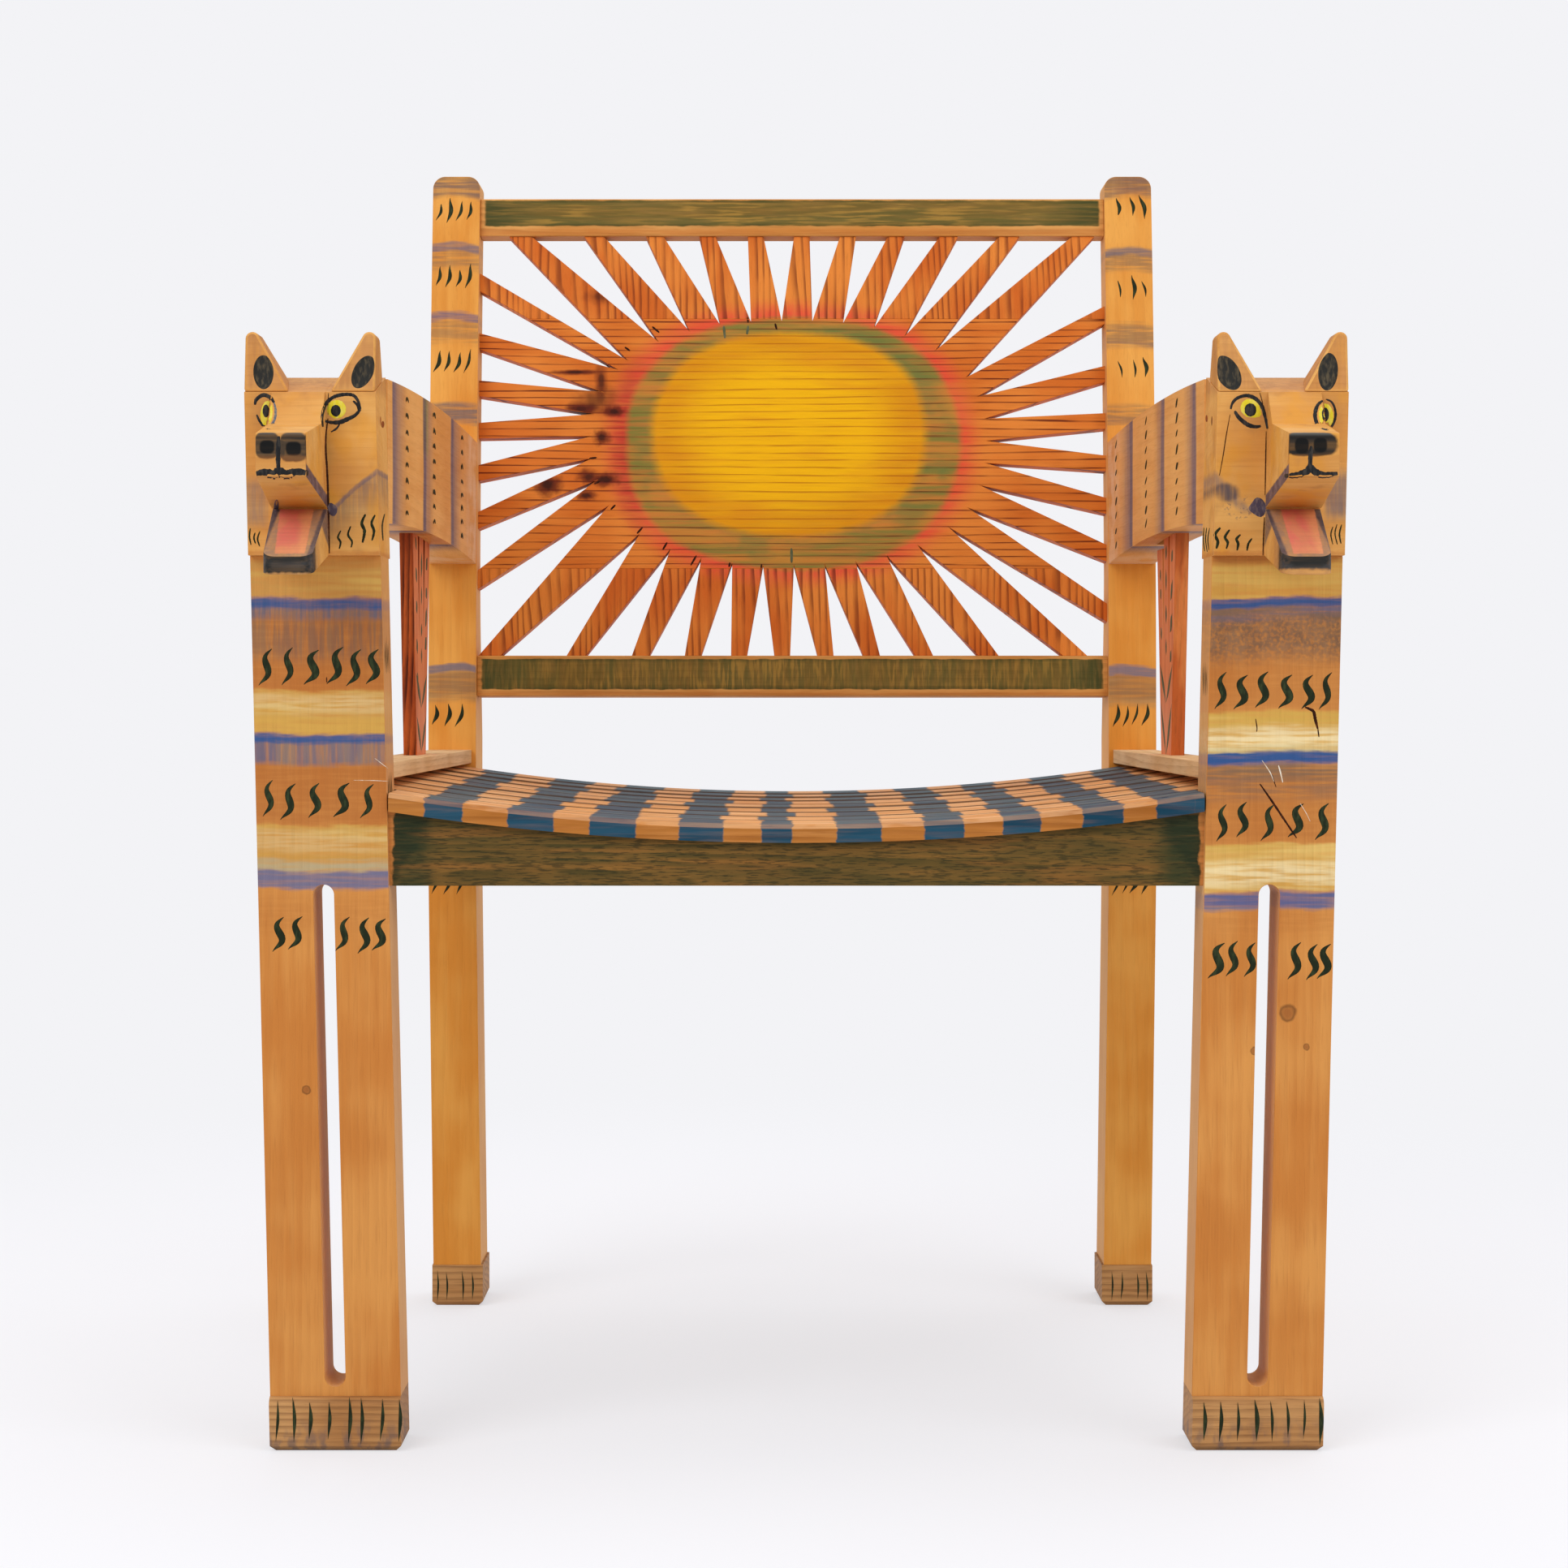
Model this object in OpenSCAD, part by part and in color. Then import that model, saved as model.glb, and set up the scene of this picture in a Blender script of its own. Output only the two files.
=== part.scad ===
// Armchair of carved and painted wood with a sunburst back and two animal heads.
// Millimetres. X runs across the chair, Y runs from its front to its back, Z is up.
// Left and right are as seen from the front. Heights are measured from the floor, and
// depths from the front faces of the front legs, until at_home() moves each piece.

/* [Front legs] */
// Width of a front leg across the chair
front_leg_w = 86; // [60:1:110]
// Thickness of a front leg from front to back
front_leg_t = 40; // [34:1:56]
// Distance from the chair's middle to the outer face of a front leg at the floor
foot_reach = 345; // [325:1:380]
// Lean of the front legs, inwards towards the floor, in degrees
leg_lean = 1.37; // [0:0.01:2.5]
// Width of the long slot in a front leg
slot_w = 13.7; // [8:0.1:20]
// Height of the slot's lower end
slot_low_h = 41; // [40:1:120]
// Height of the slot's upper end
slot_high_h = 371; // [250:1:371]

/* [Paws] */
// Height of a front paw
front_paw_h = 35; // [25:1:38]
// How far a front paw stands ahead of its leg
front_paw_step = 6; // [2:0.5:12]
// Radius of the rounded toe of a paw
toe_r = 6; // [2:0.5:10]
// Chamfer around the sole of a paw
sole_chamfer = 3.5; // [1:0.5:6]
// Height of a back paw
back_paw_h = 33; // [20:1:45]
// How far a back paw stands out all round its leg
back_paw_step = 1.2; // [0.5:0.1:4]

/* [Seat] */
// Height of the front slat's top in the middle
seat_front_h = 410.5; // [406:0.5:416]
// Depth from the front faces of the front legs to the front faces of the back legs
seat_depth = 467; // [420:1:520]
// Radius of the hollow across the seat
seat_hollow_r = 1750; // [1500:10:2600]
// Rise of the seat towards the back, in degrees
seat_rise = 0.85; // [0:0.05:1.2]
// Number of seat slats
slat_count = 9; // [7:1:10]
// Thickness of a seat slat
slat_t = 12; // [9:0.5:14]
// Gap between two seat slats
slat_gap = 4.8; // [2:0.1:8]
// Chamfer along the front slat's top edge
slat_chamfer = 3; // [1:0.5:5]
// How far the front slat stands ahead of the front legs
slat_overhang = 2; // [0:0.5:5]
// How far a slat's end laps over its side rail
slat_end_lap = 24; // [18:1:30]
// Free space at a slat's edge next to a leg
slat_clearance = 0.5; // [0.2:0.1:2]

/* [Rails under the seat] */
// Drop of the front apron's lower edge below the middle of the front slat's top
apron_drop = 40.5; // [36:0.5:56]
// Thickness of the front apron
apron_t = 22; // [16:1:26]
// How far the front apron is set back from the faces of the legs
apron_setback = 4; // [1:0.5:8]
// Drop of the other boards' lower edges below the middle of the front slat's top
rail_drop = 37.5; // [34:0.5:50]
// Thickness of the rear apron
rear_apron_t = 22; // [16:1:28]
// How far the rear apron is set back from the faces of the back legs
rear_apron_setback = 5; // [2:0.5:10]
// Width of the lower side rails that carry the slats
side_rail_w = 34; // [28:1:36]
// Distance from the chair's middle to a side rail's inner face at the front leg
side_rail_front_x = 271; // [268:1:276]
// Distance from the chair's middle to a side rail's inner face at the back leg
side_rail_back_x = 260; // [258:0.5:261]
// Width of the bearer under the middle of the seat
bearer_w = 30; // [20:1:50]
// Offset of the bearer from the chair's middle
bearer_x = -24; // [-60:1:60]
// Height of the upper side rail's top above the middle of the front slat
upper_rail_rise = 40; // [38.5:0.5:45.5]
// Thickness of the upper side rail
upper_rail_t = 11; // [9:0.5:14]

/* [Back legs] */
// Height of the back legs
chair_h = 921; // [915:1:980]
// Distance from the chair's middle to a back leg's inner face
back_leg_in_x = 256.5; // [256.5:0.5:258]
// Width of a back leg across the chair
back_leg_w = 38.5; // [37:0.5:44]
// How far a back leg leans inwards from the seat down to the floor
back_leg_toe_in = 4.5; // [0:0.5:8]
// Height at which the inward lean starts
back_leg_bend_h = 350; // [330:1:360]
// Depth of a back leg from front to back, up to the seat
back_leg_low_t = 55; // [46:1:70]
// Depth of a back leg from front to back at its top
back_leg_top_t = 34; // [32:0.5:44]
// Height above which a back leg curves backwards
back_curve_h = 460; // [452:1:470]
// How far a back leg has curved backwards at its top
back_curve = 36; // [20:1:60]
// Radius of the rounded corners on top of a back leg
back_leg_top_r = 10; // [4:0.5:15]

/* [Back rails and sunburst] */
// Height of the bottom back rail's lower edge
back_low_rail_h = 494; // [480:1:520]
// Width of the bottom back rail, measured up the back
back_low_rail_w = 33; // [28:1:45]
// Distance from the tops of the back legs down to the top back rail's lower edge
back_top_rail_drop = 49; // [46:1:80]
// Width of the top back rail, measured up the back
back_top_rail_w = 31; // [28:1:40]
// Thickness of both back rails
back_rail_t = 20; // [18:0.5:22]
// How far the back rails are set back from the faces of the back legs
back_rail_setback = 6; // [3:0.5:8]
// Thickness of the sunburst boards
sun_t = 16; // [10:0.5:17]
// How far the sunburst boards are set back from the faces of the back rails
sun_setback = 2; // [0:0.5:3]
// Half width of the sun's solid middle
sun_half_w = 161.5; // [120:0.5:175]
// Half height of the sun's solid middle
sun_half_h = 101; // [95:0.5:115]
// Offset of the sun's centre from the chair's middle
sun_x = -2.7; // [-10:0.1:10]
// Height of the sun's centre above the middle of the boards
sun_lift = 2; // [-5:0.5:5]
// Squareness of the sun's outline, where 2 is a true ellipse
sun_squareness = 2.4; // [2:0.1:3]
// Width of a ray, measured square to it at its outer end
ray_w = 12.8; // [8:0.1:16]
// Number of rays that end along the top and along the bottom
ray_count_wide = 11; // [7:2:13]
// Number of rays that end along each side
ray_count_side = 7; // [5:2:7]
// Spacing of the ray roots along the top and the bottom of the sun
root_pitch_wide = 25.2; // [20:0.1:26]
// Spacing of the ray roots along the sides of the sun
root_pitch_side = 18.3; // [14:0.1:19]
// Height of the lower glue line of the boards above the sun's centre
sun_glue_low = -103.5; // [-112:0.5:-100]
// Height of the upper glue line of the boards above the sun's centre
sun_glue_high = 102.5; // [100:0.5:112]

/* [Arms] */
// Thickness of an arm across the chair
arm_t = 37; // [30:0.5:37.5]
// Distance from the chair's middle to an arm's inner face at the head
arm_front_x = 274.5; // [272:0.5:278]
// Distance from the chair's middle to an arm's inner face at the back leg
arm_back_x = 257; // [256.5:0.5:258]
// Greatest height of the arm's top
arm_top_h = 710.3; // [700:0.1:725]
// Height of an arm's board at its highest place
arm_h = 96.3; // [90:0.1:106]
// Depth at which the arm is highest
arm_peak_y = 187; // [150:1:240]
// Radius of the arm's long top curve
arm_top_r = 4170; // [3000:10:9000]
// Radius of the arm's long lower curve
arm_under_r = 3150; // [2400:10:9000]

/* [Side splats] */
// Thickness of a side splat
splat_t = 10; // [7:0.5:14]
// Distance from the chair's middle to a side splat's inner face
splat_x = 279; // [276:0.5:281]
// Depth of the middle of a side splat
splat_y = 281; // [240:1:320]
// Width of a side splat at the upper side rail
splat_low_w = 57; // [40:1:70]
// Width of a side splat at the arm
splat_high_w = 109; // [90:1:130]
// Width of each V cut at the arm
splat_cut_w = 12; // [4:0.5:16]
// Length of the V cuts below the arm
splat_cut_l = 85; // [40:1:120]
// How far a side splat enters the arm
splat_arm_housing = 5; // [2:0.5:10]
// How far a side splat enters the upper side rail
splat_rail_housing = 4; // [2:0.5:5]
// Gap left under the arm by the right splat's short rear finger
short_finger_gap = 8; // [4:0.5:20]

/* [Heads] */
// Depth of a head's boards from front to back
head_t = 55; // [46:1:70]
// How far a head's boards stand ahead of the leg
head_step = 8; // [3:0.5:14]
// Height of a head's face above the leg
head_h = 107; // [96:1:125]
// Rise of a head's top from the face to the arm
head_rise = 15; // [8:1:20]
// How far the back of a head's top lies below the arm's highest place
head_below_arm = 1.3; // [0:0.1:6]
// Width of the inner of a head's two boards
cheek_board_w = 33; // [30:1:38]
// Width of the muzzle at the nose, and of the jaw at the lip
muzzle_w = 32; // [24:1:40]
// Width of the muzzle and the jaw at the face
muzzle_root_w = 37; // [30:1:42]
// Radius of the lower lip's rounded corners, seen from above
lip_r = 9; // [4:0.5:12]
// Length of the muzzle ahead of the face
muzzle_l = 90; // [60:1:120]
// Length of the lower jaw ahead of the face
jaw_l = 75; // [50:1:100]
// Length of the slope from the brow down to the muzzle
brow_l = 20; // [10:1:30]
// Drop from the face's top edge to the root of the muzzle
brow_drop = 22.5; // [14:0.5:30]
// Fall of the muzzle's top from its root to the nose
muzzle_fall = 12; // [4:0.5:18]
// Height of the muzzle's end, from the upper lip to the top of the nose
nose_h = 27; // [20:0.5:32]
// Height of the corner of the mouth above the leg's top
mouth_corner_rise = 31; // [24:0.5:34]
// Thickness of the lower lip
lip_t = 11.5; // [8:0.5:16]
// Drop of the lower lip's underside below the leg's top
lip_drop = 15.5; // [14:0.5:24]

/* [Ears] */
// Width of an ear at its base
ear_w = 29.5; // [20:0.5:32]
// Rise of the ears' tips above the face's top edge
ear_rise = 40; // [28:1:60]
// Depth of an ear at its base
ear_base_t = 40; // [24:1:46]
// Depth of an ear at its tip
ear_tip_t = 20; // [10:1:30]
// How far an ear's face leans back up to its tip
ear_face_lean = 5; // [0:0.5:12]
// Radius of an ear's tip
ear_tip_r = 4.5; // [2:0.5:6]

/* [Joints and fasteners] */
// Length of the tenons on the aprons and back rails
tenon_l = 22; // [12:1:24]
// Thickness of the tenons on the aprons and back rails
tenon_t = 10; // [6:0.5:12]
// Shoulder left above and below a tenon
tenon_shoulder = 5; // [3:0.5:8]
// Length of the stub tenons on the side rails
stub_l = 8; // [4:0.5:9]
// Distance between the two dowels of a joint of an arm
arm_dowel_spread = 60; // [40:1:70]
// Diameter of the dowels in the arms, heads and paws
dowel_d = 10; // [6:0.5:12]
// Play around a dowel
dowel_play = 0.1; // [0.05:0.05:0.3]
// Length of a dowel on each side of its joint
dowel_reach = 22; // [12:1:26]
// Diameter of the pegs across the heads
peg_d = 6.5; // [4:0.5:8]
// Length of the pegs across the heads
peg_l = 52; // [42:1:60]
// Diameter of a slat nail's shank
nail_d = 2.6; // [1.8:0.1:3.2]
// Diameter of a slat nail's head
nail_head_d = 5; // [4:0.1:7]
// Thickness of a slat nail's head
nail_head_t = 1.2; // [0.8:0.1:2]
// Depth of a nail's head below the slat's top
nail_sink = 0.6; // [0.5:0.1:1]
// Length of a slat nail
nail_l = 32; // [24:1:36]
// Height of the tenons on the aprons and the lower side rails
apron_tenon_h = 22; // [12:1:26]
// Shoulder beside each stub tenon
stub_inset = 6; // [3:0.5:10]
// Height of the upper side rail's stub tenons
upper_stub_h = 5; // [3:0.5:6]
// Distance of the pegs across the heads below the face's top edge
head_peg_drop = 17; // [10:1:22]
// Depth of the pegs across the heads
head_peg_y = 16; // [12:1:20]

/* [Hidden] */
fine = 96;
seat_fine = 720;
curve_steps = 14;
over = 20;
upper_stub_drop = 2;
peg_cap = 0.2;
through = 2;
far = 400;

// Heights that hang together with those of their neighbours.
apron_low_h = seat_front_h - apron_drop;
rail_low_h = seat_front_h - rail_drop;
upper_rail_top_h = seat_front_h + upper_rail_rise;
back_top_rail_h = chair_h - back_top_rail_drop;
arm_under_h = arm_top_h - arm_h;
head_back_h = arm_top_h - head_below_arm;
head_front_h = head_back_h - head_rise;
front_leg_top_h = head_front_h - head_h;
head_peg_h = head_front_h - head_peg_drop;
muzzle_back_h = head_front_h - brow_drop;
nose_top_h = muzzle_back_h - muzzle_fall;
upper_lip_h = nose_top_h - nose_h;
mouth_corner_h = front_leg_top_h + mouth_corner_rise;
lip_base_h = front_leg_top_h - lip_drop;
lower_lip_h = lip_base_h + lip_t;

slat_names = [for (i = [1:slat_count]) str("seat_slat_", i)];

front_wood = [0.80, 0.53, 0.24];
back_wood = [0.85, 0.57, 0.20];
sun_wood = [0.80, 0.42, 0.12];
pale_wood = [0.90, 0.74, 0.54];
paw_wood = [0.66, 0.47, 0.28];
splat_wood = [0.72, 0.33, 0.13];
apron_green = [0.23, 0.25, 0.13];
rail_green = [0.38, 0.39, 0.16];
slat_colours = [[0.85, 0.57, 0.30], [0.22, 0.33, 0.42]];
dowel_wood = [0.88, 0.76, 0.58];
nail_steel = [0.30, 0.27, 0.25];

// Front legs: every face of a leg and of the head on it follows these lines.
function outer_x(z) = foot_reach + z * tan(leg_lean);
function inner_x(z) = outer_x(z) - front_leg_w;
function glue_x(z) = inner_x(z) + cheek_board_w;
function slot_x(z) = outer_x(z) - front_leg_w / 2;

// Back legs: the front face is upright up to the curve and then bends backwards.
function curve_part(z) = max(0, (z - back_curve_h) / (chair_h - back_curve_h));
function back_face_y(z) = seat_depth + back_curve * pow(curve_part(z), 2);
function back_thickness(z) =
    back_leg_low_t + (back_leg_top_t - back_leg_low_t) * min(1, 4 * curve_part(z));
function back_heights() = concat([back_paw_h],
    [for (i = [0:curve_steps]) back_curve_h + (chair_h - back_curve_h) * i / curve_steps]);

// The back frame leans with the chord between the two rails.
back_rise = back_top_rail_h - back_low_rail_h;
back_run = back_face_y(back_top_rail_h) - back_face_y(back_low_rail_h);
back_lean = atan(back_run / back_rise);
sun_low = back_low_rail_w;
sun_high = back_rise / cos(back_lean);
sun_z = (sun_low + sun_high) / 2 + sun_lift;

// Seat slats share the length between the front edge and the back legs.
seat_l = (seat_depth + slat_overhang - slat_clearance) / cos(seat_rise);
slat_w = (seat_l - (slat_count - 1) * slat_gap) / slat_count;
slat_pitch = slat_w + slat_gap;
function rail_x(y) = side_rail_front_x
    + (side_rail_back_x - side_rail_front_x) * (y - front_leg_t) / (seat_depth - front_leg_t);
function slat_end_x(i) = i == 0
    ? inner_x(seat_front_h - slat_t) - slat_clearance
    : rail_x((i + 0.5) * slat_pitch) + slat_end_lap;

// Arms and heads.
head_back_y = head_t - head_step;
face_y = -head_step;
function head_top(y) = head_front_h + (head_back_h - head_front_h) * (y - face_y) / head_t;
function arm_x(y) =
    arm_front_x + (arm_back_x - arm_front_x) * (y - head_back_y) / (seat_depth - head_back_y);
function arm_top(y) = arm_top_h - pow(y - arm_peak_y, 2) / (2 * arm_top_r);
function arm_under(y) = arm_under_h - pow(y - arm_peak_y, 2) / (2 * arm_under_r);
arm_end_y = seat_depth + back_curve + over;
arm_depths = [for (i = [0:curve_steps]) head_back_y + (arm_end_y - head_back_y) * i / curve_steps];
arm_mid_h = (arm_top(head_back_y) + arm_under(head_back_y)) / 2;
arm_dowel_heights = [arm_mid_h - arm_dowel_spread / 2, arm_mid_h + arm_dowel_spread / 2];
head_dowel_y = front_leg_t / 2;
head_dowel_xs = [inner_x(front_leg_top_h) + cheek_board_w / 2,
                 glue_x(front_leg_top_h) + (front_leg_w - cheek_board_w) / 2];

// The origin stands on the floor under the middle of the whole chair.
front_reach = -head_step - muzzle_l;
back_reach = max(seat_depth + back_leg_low_t + back_paw_step, back_face_y(chair_h) + back_leg_top_t);
middle_y = (front_reach + back_reach) / 2;

module at_home() {
    translate([0, -middle_y, 0]) children();
}

// Draws a piece of the right side, or its mirror image on the left.
module on_side(side) {
    at_home() mirror([side == "left" ? 1 : 0, 0, 0]) children();
}

// Extrudes an outline seen from the front, between two depths.
module front_view(y0, y1) {
    translate([0, y1, 0]) rotate([90, 0, 0]) linear_extrude(y1 - y0) children();
}

// Extrudes an outline seen from the side, between two distances from the middle.
module side_view(x0, x1) {
    translate([x0, 0, 0]) rotate([90, 0, 90]) linear_extrude(x1 - x0) children();
}

// Extrudes an outline seen from above, between two heights.
module top_view(z0, z1) {
    translate([0, 0, z0]) linear_extrude(z1 - z0) children();
}

module upright_dowel(d, z0, z1) {
    translate([0, 0, z0]) cylinder(d = d, h = z1 - z0, $fn = fine);
}

module level_dowel(d, y0, y1) {
    translate([0, y0, 0]) rotate([-90, 0, 0]) cylinder(d = d, h = y1 - y0, $fn = fine);
}

// The strip between two lines that lean with a front leg.
module leaning_strip(z0, z1, inset = 0, width = front_leg_w) {
    polygon([
        [inner_x(z0) + inset, z0], [inner_x(z0) + inset + width, z0],
        [inner_x(z1) + inset + width, z1], [inner_x(z1) + inset, z1]]);
}

// Places the seat's own frame, with its origin on the middle of the front edge.
module seat_frame() {
    translate([0, -slat_overhang, seat_front_h]) rotate([seat_rise, 0, 0]) children();
}

// Turns a piece about the hollow of the seat, so that it stands square to the slats.
module around_hollow(x) {
    translate([0, 0, seat_hollow_r])
        rotate([0, -asin(x / seat_hollow_r), 0])
            translate([0, 0, -seat_hollow_r]) children();
}

// Everything that lies above a surface at this depth below the slats' tops.
module above_seat(drop) {
    seat_frame() front_view(-over, seat_l + 4 * over)
        translate([0, seat_hollow_r]) circle(r = seat_hollow_r + drop, $fn = seat_fine);
}

module slot_shape() {
    low_z = slot_low_h + slot_w / 2;
    run = (slot_high_h - slot_w / 2 - low_z) / cos(leg_lean);
    translate([slot_x(low_z), low_z]) rotate(-leg_lean) {
        circle(d = slot_w, $fn = fine);
        translate([-slot_w / 2, 0]) square([slot_w, run]);
        translate([0, run]) circle(d = slot_w, $fn = fine);
    }
}

module front_apron_tenon() {
    x0 = inner_x(apron_low_h) - over;
    translate([x0, apron_setback + (apron_t - tenon_t) / 2, apron_low_h + tenon_shoulder])
        cube([over + tenon_l, tenon_t, apron_tenon_h]);
}

module rear_apron_tenon() {
    translate([back_leg_in_x - over, seat_depth + rear_apron_setback + (rear_apron_t - tenon_t) / 2,
        rail_low_h + tenon_shoulder])
        cube([over + tenon_l, tenon_t, apron_tenon_h]);
}

// Stub tenons of the lower side rail, from inside the front leg to inside the back leg.
module lower_rail_stubs() {
    for (end = [[front_leg_t - stub_l, front_leg_t + through, side_rail_front_x],
                [seat_depth - through, seat_depth + stub_l, side_rail_back_x]])
        translate([end[2] + stub_inset, end[0], rail_low_h + tenon_shoulder])
            cube([side_rail_w - 2 * stub_inset, end[1] - end[0], apron_tenon_h]);
}

module upper_rail_stubs() {
    for (end = [[front_leg_t - stub_l, front_leg_t + through, side_rail_front_x],
                [seat_depth - through, seat_depth + stub_l, side_rail_back_x]])
        translate([end[2] + stub_inset, end[0], upper_rail_top_h - upper_stub_drop - upper_stub_h])
            cube([side_rail_w - 2 * stub_inset, end[1] - end[0], upper_stub_h]);
}

module head_dowel_set(d) {
    for (x = head_dowel_xs)
        translate([x, head_dowel_y, 0])
            upright_dowel(d, front_leg_top_h - dowel_reach, front_leg_top_h + dowel_reach);
}

module arm_dowel_set(d) {
    for (z = arm_dowel_heights) {
        translate([arm_x(head_back_y) + arm_t / 2, 0, z])
            level_dowel(d, head_back_y - dowel_reach, head_back_y + dowel_reach);
        translate([arm_x(seat_depth) + arm_t / 2, 0, z])
            level_dowel(d, back_face_y(z) - dowel_reach, back_face_y(z) + dowel_reach);
    }
}

module front_paw_dowel_set(d) {
    for (offset = [-1, 1])
        translate([slot_x(front_paw_h) + offset * front_leg_w * 0.3, front_leg_t / 2, 0])
            upright_dowel(d, front_paw_h - dowel_reach, front_paw_h + dowel_reach);
}

module back_paw_dowel_set(d) {
    for (offset = [-1, 1])
        translate([back_leg_in_x - back_leg_toe_in + back_leg_w / 2,
            seat_depth + back_leg_low_t / 2 + offset * back_leg_low_t * 0.25, 0])
            upright_dowel(d, back_paw_h - dowel_reach, back_paw_h + dowel_reach);
}

module head_peg(d) {
    translate([inner_x(head_peg_h) + peg_cap, head_peg_y, head_peg_h])
        rotate([0, 90, 0]) cylinder(d = d, h = peg_l, $fn = fine);
}

// Nails stand square to the slats: over the side rails, the bearer and the front apron.
function nail_spots(i) = i == 0
    ? [for (x = [-1, 1]) [x * (slat_end_x(i) - slat_end_lap), apron_setback + slat_overhang + apron_t / 2]]
    : [for (x = [-(slat_end_x(i) - slat_end_lap / 2), bearer_x, slat_end_x(i) - slat_end_lap / 2])
        [x, i * slat_pitch + slat_w / 2]];

module slat_nail(extra = 0) {
    translate([0, 0, -nail_l])
        cylinder(d = nail_d + extra, h = nail_l - nail_sink, $fn = fine);
    translate([0, 0, -nail_sink - nail_head_t])
        cylinder(d = nail_head_d + extra, h = nail_head_t, $fn = fine);
}

// The drilled hole is open to the slat's top, so that the nail's head can be seen.
module nail_hole() {
    slat_nail();
    translate([0, 0, -nail_sink - nail_head_t])
        cylinder(d = nail_head_d, h = nail_head_t + over, $fn = fine);
}

module nail_holes(first, last) {
    seat_frame() for (i = [first:last]) for (spot = nail_spots(i))
        translate([0, spot[1], 0]) around_hollow(spot[0]) nail_hole();
}

module front_leg(side) {
    color(front_wood) on_side(side) difference() {
        front_view(0, front_leg_t) difference() {
            leaning_strip(front_paw_h, front_leg_top_h);
            slot_shape();
        }
        front_apron_tenon();
        lower_rail_stubs();
        upper_rail_stubs();
        head_dowel_set(dowel_d);
        front_paw_dowel_set(dowel_d);
    }
}

// A paw's outline from the side: rounded toe above, chamfered sole below.
module paw_profile(y0, y1, h, round_r) {
    difference() {
        polygon([[y0, sole_chamfer], [y0 + sole_chamfer, 0], [y1 - sole_chamfer, 0],
            [y1, sole_chamfer], [y1, h], [y0, h]]);
        translate([y0, h - round_r]) difference() {
            translate([-round_r, 0]) square([2 * round_r, 2 * round_r]);
            translate([round_r, 0]) circle(r = round_r, $fn = fine);
            translate([round_r, -round_r]) square([2 * round_r, 4 * round_r]);
        }
    }
}

module front_paw(side) {
    color(paw_wood) on_side(side) difference() {
        intersection() {
            side_view(foot_reach - front_leg_w - over, foot_reach + over)
                paw_profile(-front_paw_step, front_leg_t, front_paw_h, toe_r);
            front_view(-over, front_leg_t + over) polygon([
                [inner_x(0) + sole_chamfer, 0], [outer_x(0) - sole_chamfer, 0],
                [outer_x(sole_chamfer), sole_chamfer], [outer_x(front_paw_h), front_paw_h],
                [inner_x(front_paw_h), front_paw_h], [inner_x(sole_chamfer), sole_chamfer]]);
        }
        front_paw_dowel_set(dowel_d);
    }
}

// The back leg from the side.
module back_leg_profile() {
    zs = back_heights();
    polygon(concat(
        [for (z = zs) [back_face_y(z), z]],
        [for (i = [len(zs) - 1:-1:0]) [back_face_y(zs[i]) + back_thickness(zs[i]), zs[i]]]));
}

// The back leg from the front, with rounded corners at the top.
module back_leg_outline() {
    x0 = back_leg_in_x;
    x1 = back_leg_in_x + back_leg_w;
    polygon([[x0 - back_leg_toe_in, 0], [x1 - back_leg_toe_in, 0], [x1, back_leg_bend_h],
        [x1, chair_h - back_leg_top_r], [x0, chair_h - back_leg_top_r], [x0, back_leg_bend_h]]);
    for (x = [x0 + back_leg_top_r, x1 - back_leg_top_r])
        translate([x, chair_h - back_leg_top_r]) circle(r = back_leg_top_r, $fn = fine);
    translate([x0 + back_leg_top_r, chair_h - 2 * back_leg_top_r])
        square([back_leg_w - 2 * back_leg_top_r, 2 * back_leg_top_r]);
}

module back_leg(side) {
    color(back_wood) on_side(side) difference() {
        intersection() {
            side_view(back_leg_in_x - over, back_leg_in_x + back_leg_w + over) back_leg_profile();
            front_view(seat_depth - over, seat_depth + back_leg_low_t + back_curve + over)
                back_leg_outline();
        }
        rear_apron_tenon();
        lower_rail_stubs();
        upper_rail_stubs();
        back_frame() back_rail_tenons();
        arm_dowel_set(dowel_d);
        back_paw_dowel_set(dowel_d);
    }
}

module back_paw(side) {
    x0 = back_leg_in_x - back_leg_toe_in - back_paw_step;
    x1 = x0 + back_leg_w + 2 * back_paw_step;
    color(paw_wood) on_side(side) difference() {
        intersection() {
            side_view(x0, x1) paw_profile(seat_depth - back_paw_step,
                seat_depth + back_leg_low_t + back_paw_step, back_paw_h, back_paw_step);
            front_view(seat_depth - over, seat_depth + back_leg_low_t + over) polygon([
                [x0 + sole_chamfer, 0], [x1 - sole_chamfer, 0], [x1, sole_chamfer],
                [x1, back_paw_h], [x0, back_paw_h], [x0, sole_chamfer]]);
        }
        back_paw_dowel_set(dowel_d);
    }
}

module front_apron() {
    top_h = seat_front_h + over;
    color(apron_green) at_home() difference() {
        union() {
            front_view(apron_setback, apron_setback + apron_t) polygon([
                [-inner_x(apron_low_h), apron_low_h], [inner_x(apron_low_h), apron_low_h],
                [inner_x(top_h), top_h], [-inner_x(top_h), top_h]]);
            for (m = [0, 1]) mirror([m, 0, 0]) front_apron_tenon();
        }
        above_seat(slat_t);
        nail_holes(0, 0);
    }
}

module rear_apron() {
    color(pale_wood) at_home() difference() {
        union() {
            translate([-back_leg_in_x, seat_depth + rear_apron_setback, rail_low_h])
                cube([2 * back_leg_in_x, rear_apron_t, seat_front_h + over - rail_low_h]);
            for (m = [0, 1]) mirror([m, 0, 0]) rear_apron_tenon();
        }
        above_seat(slat_t);
    }
}

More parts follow.
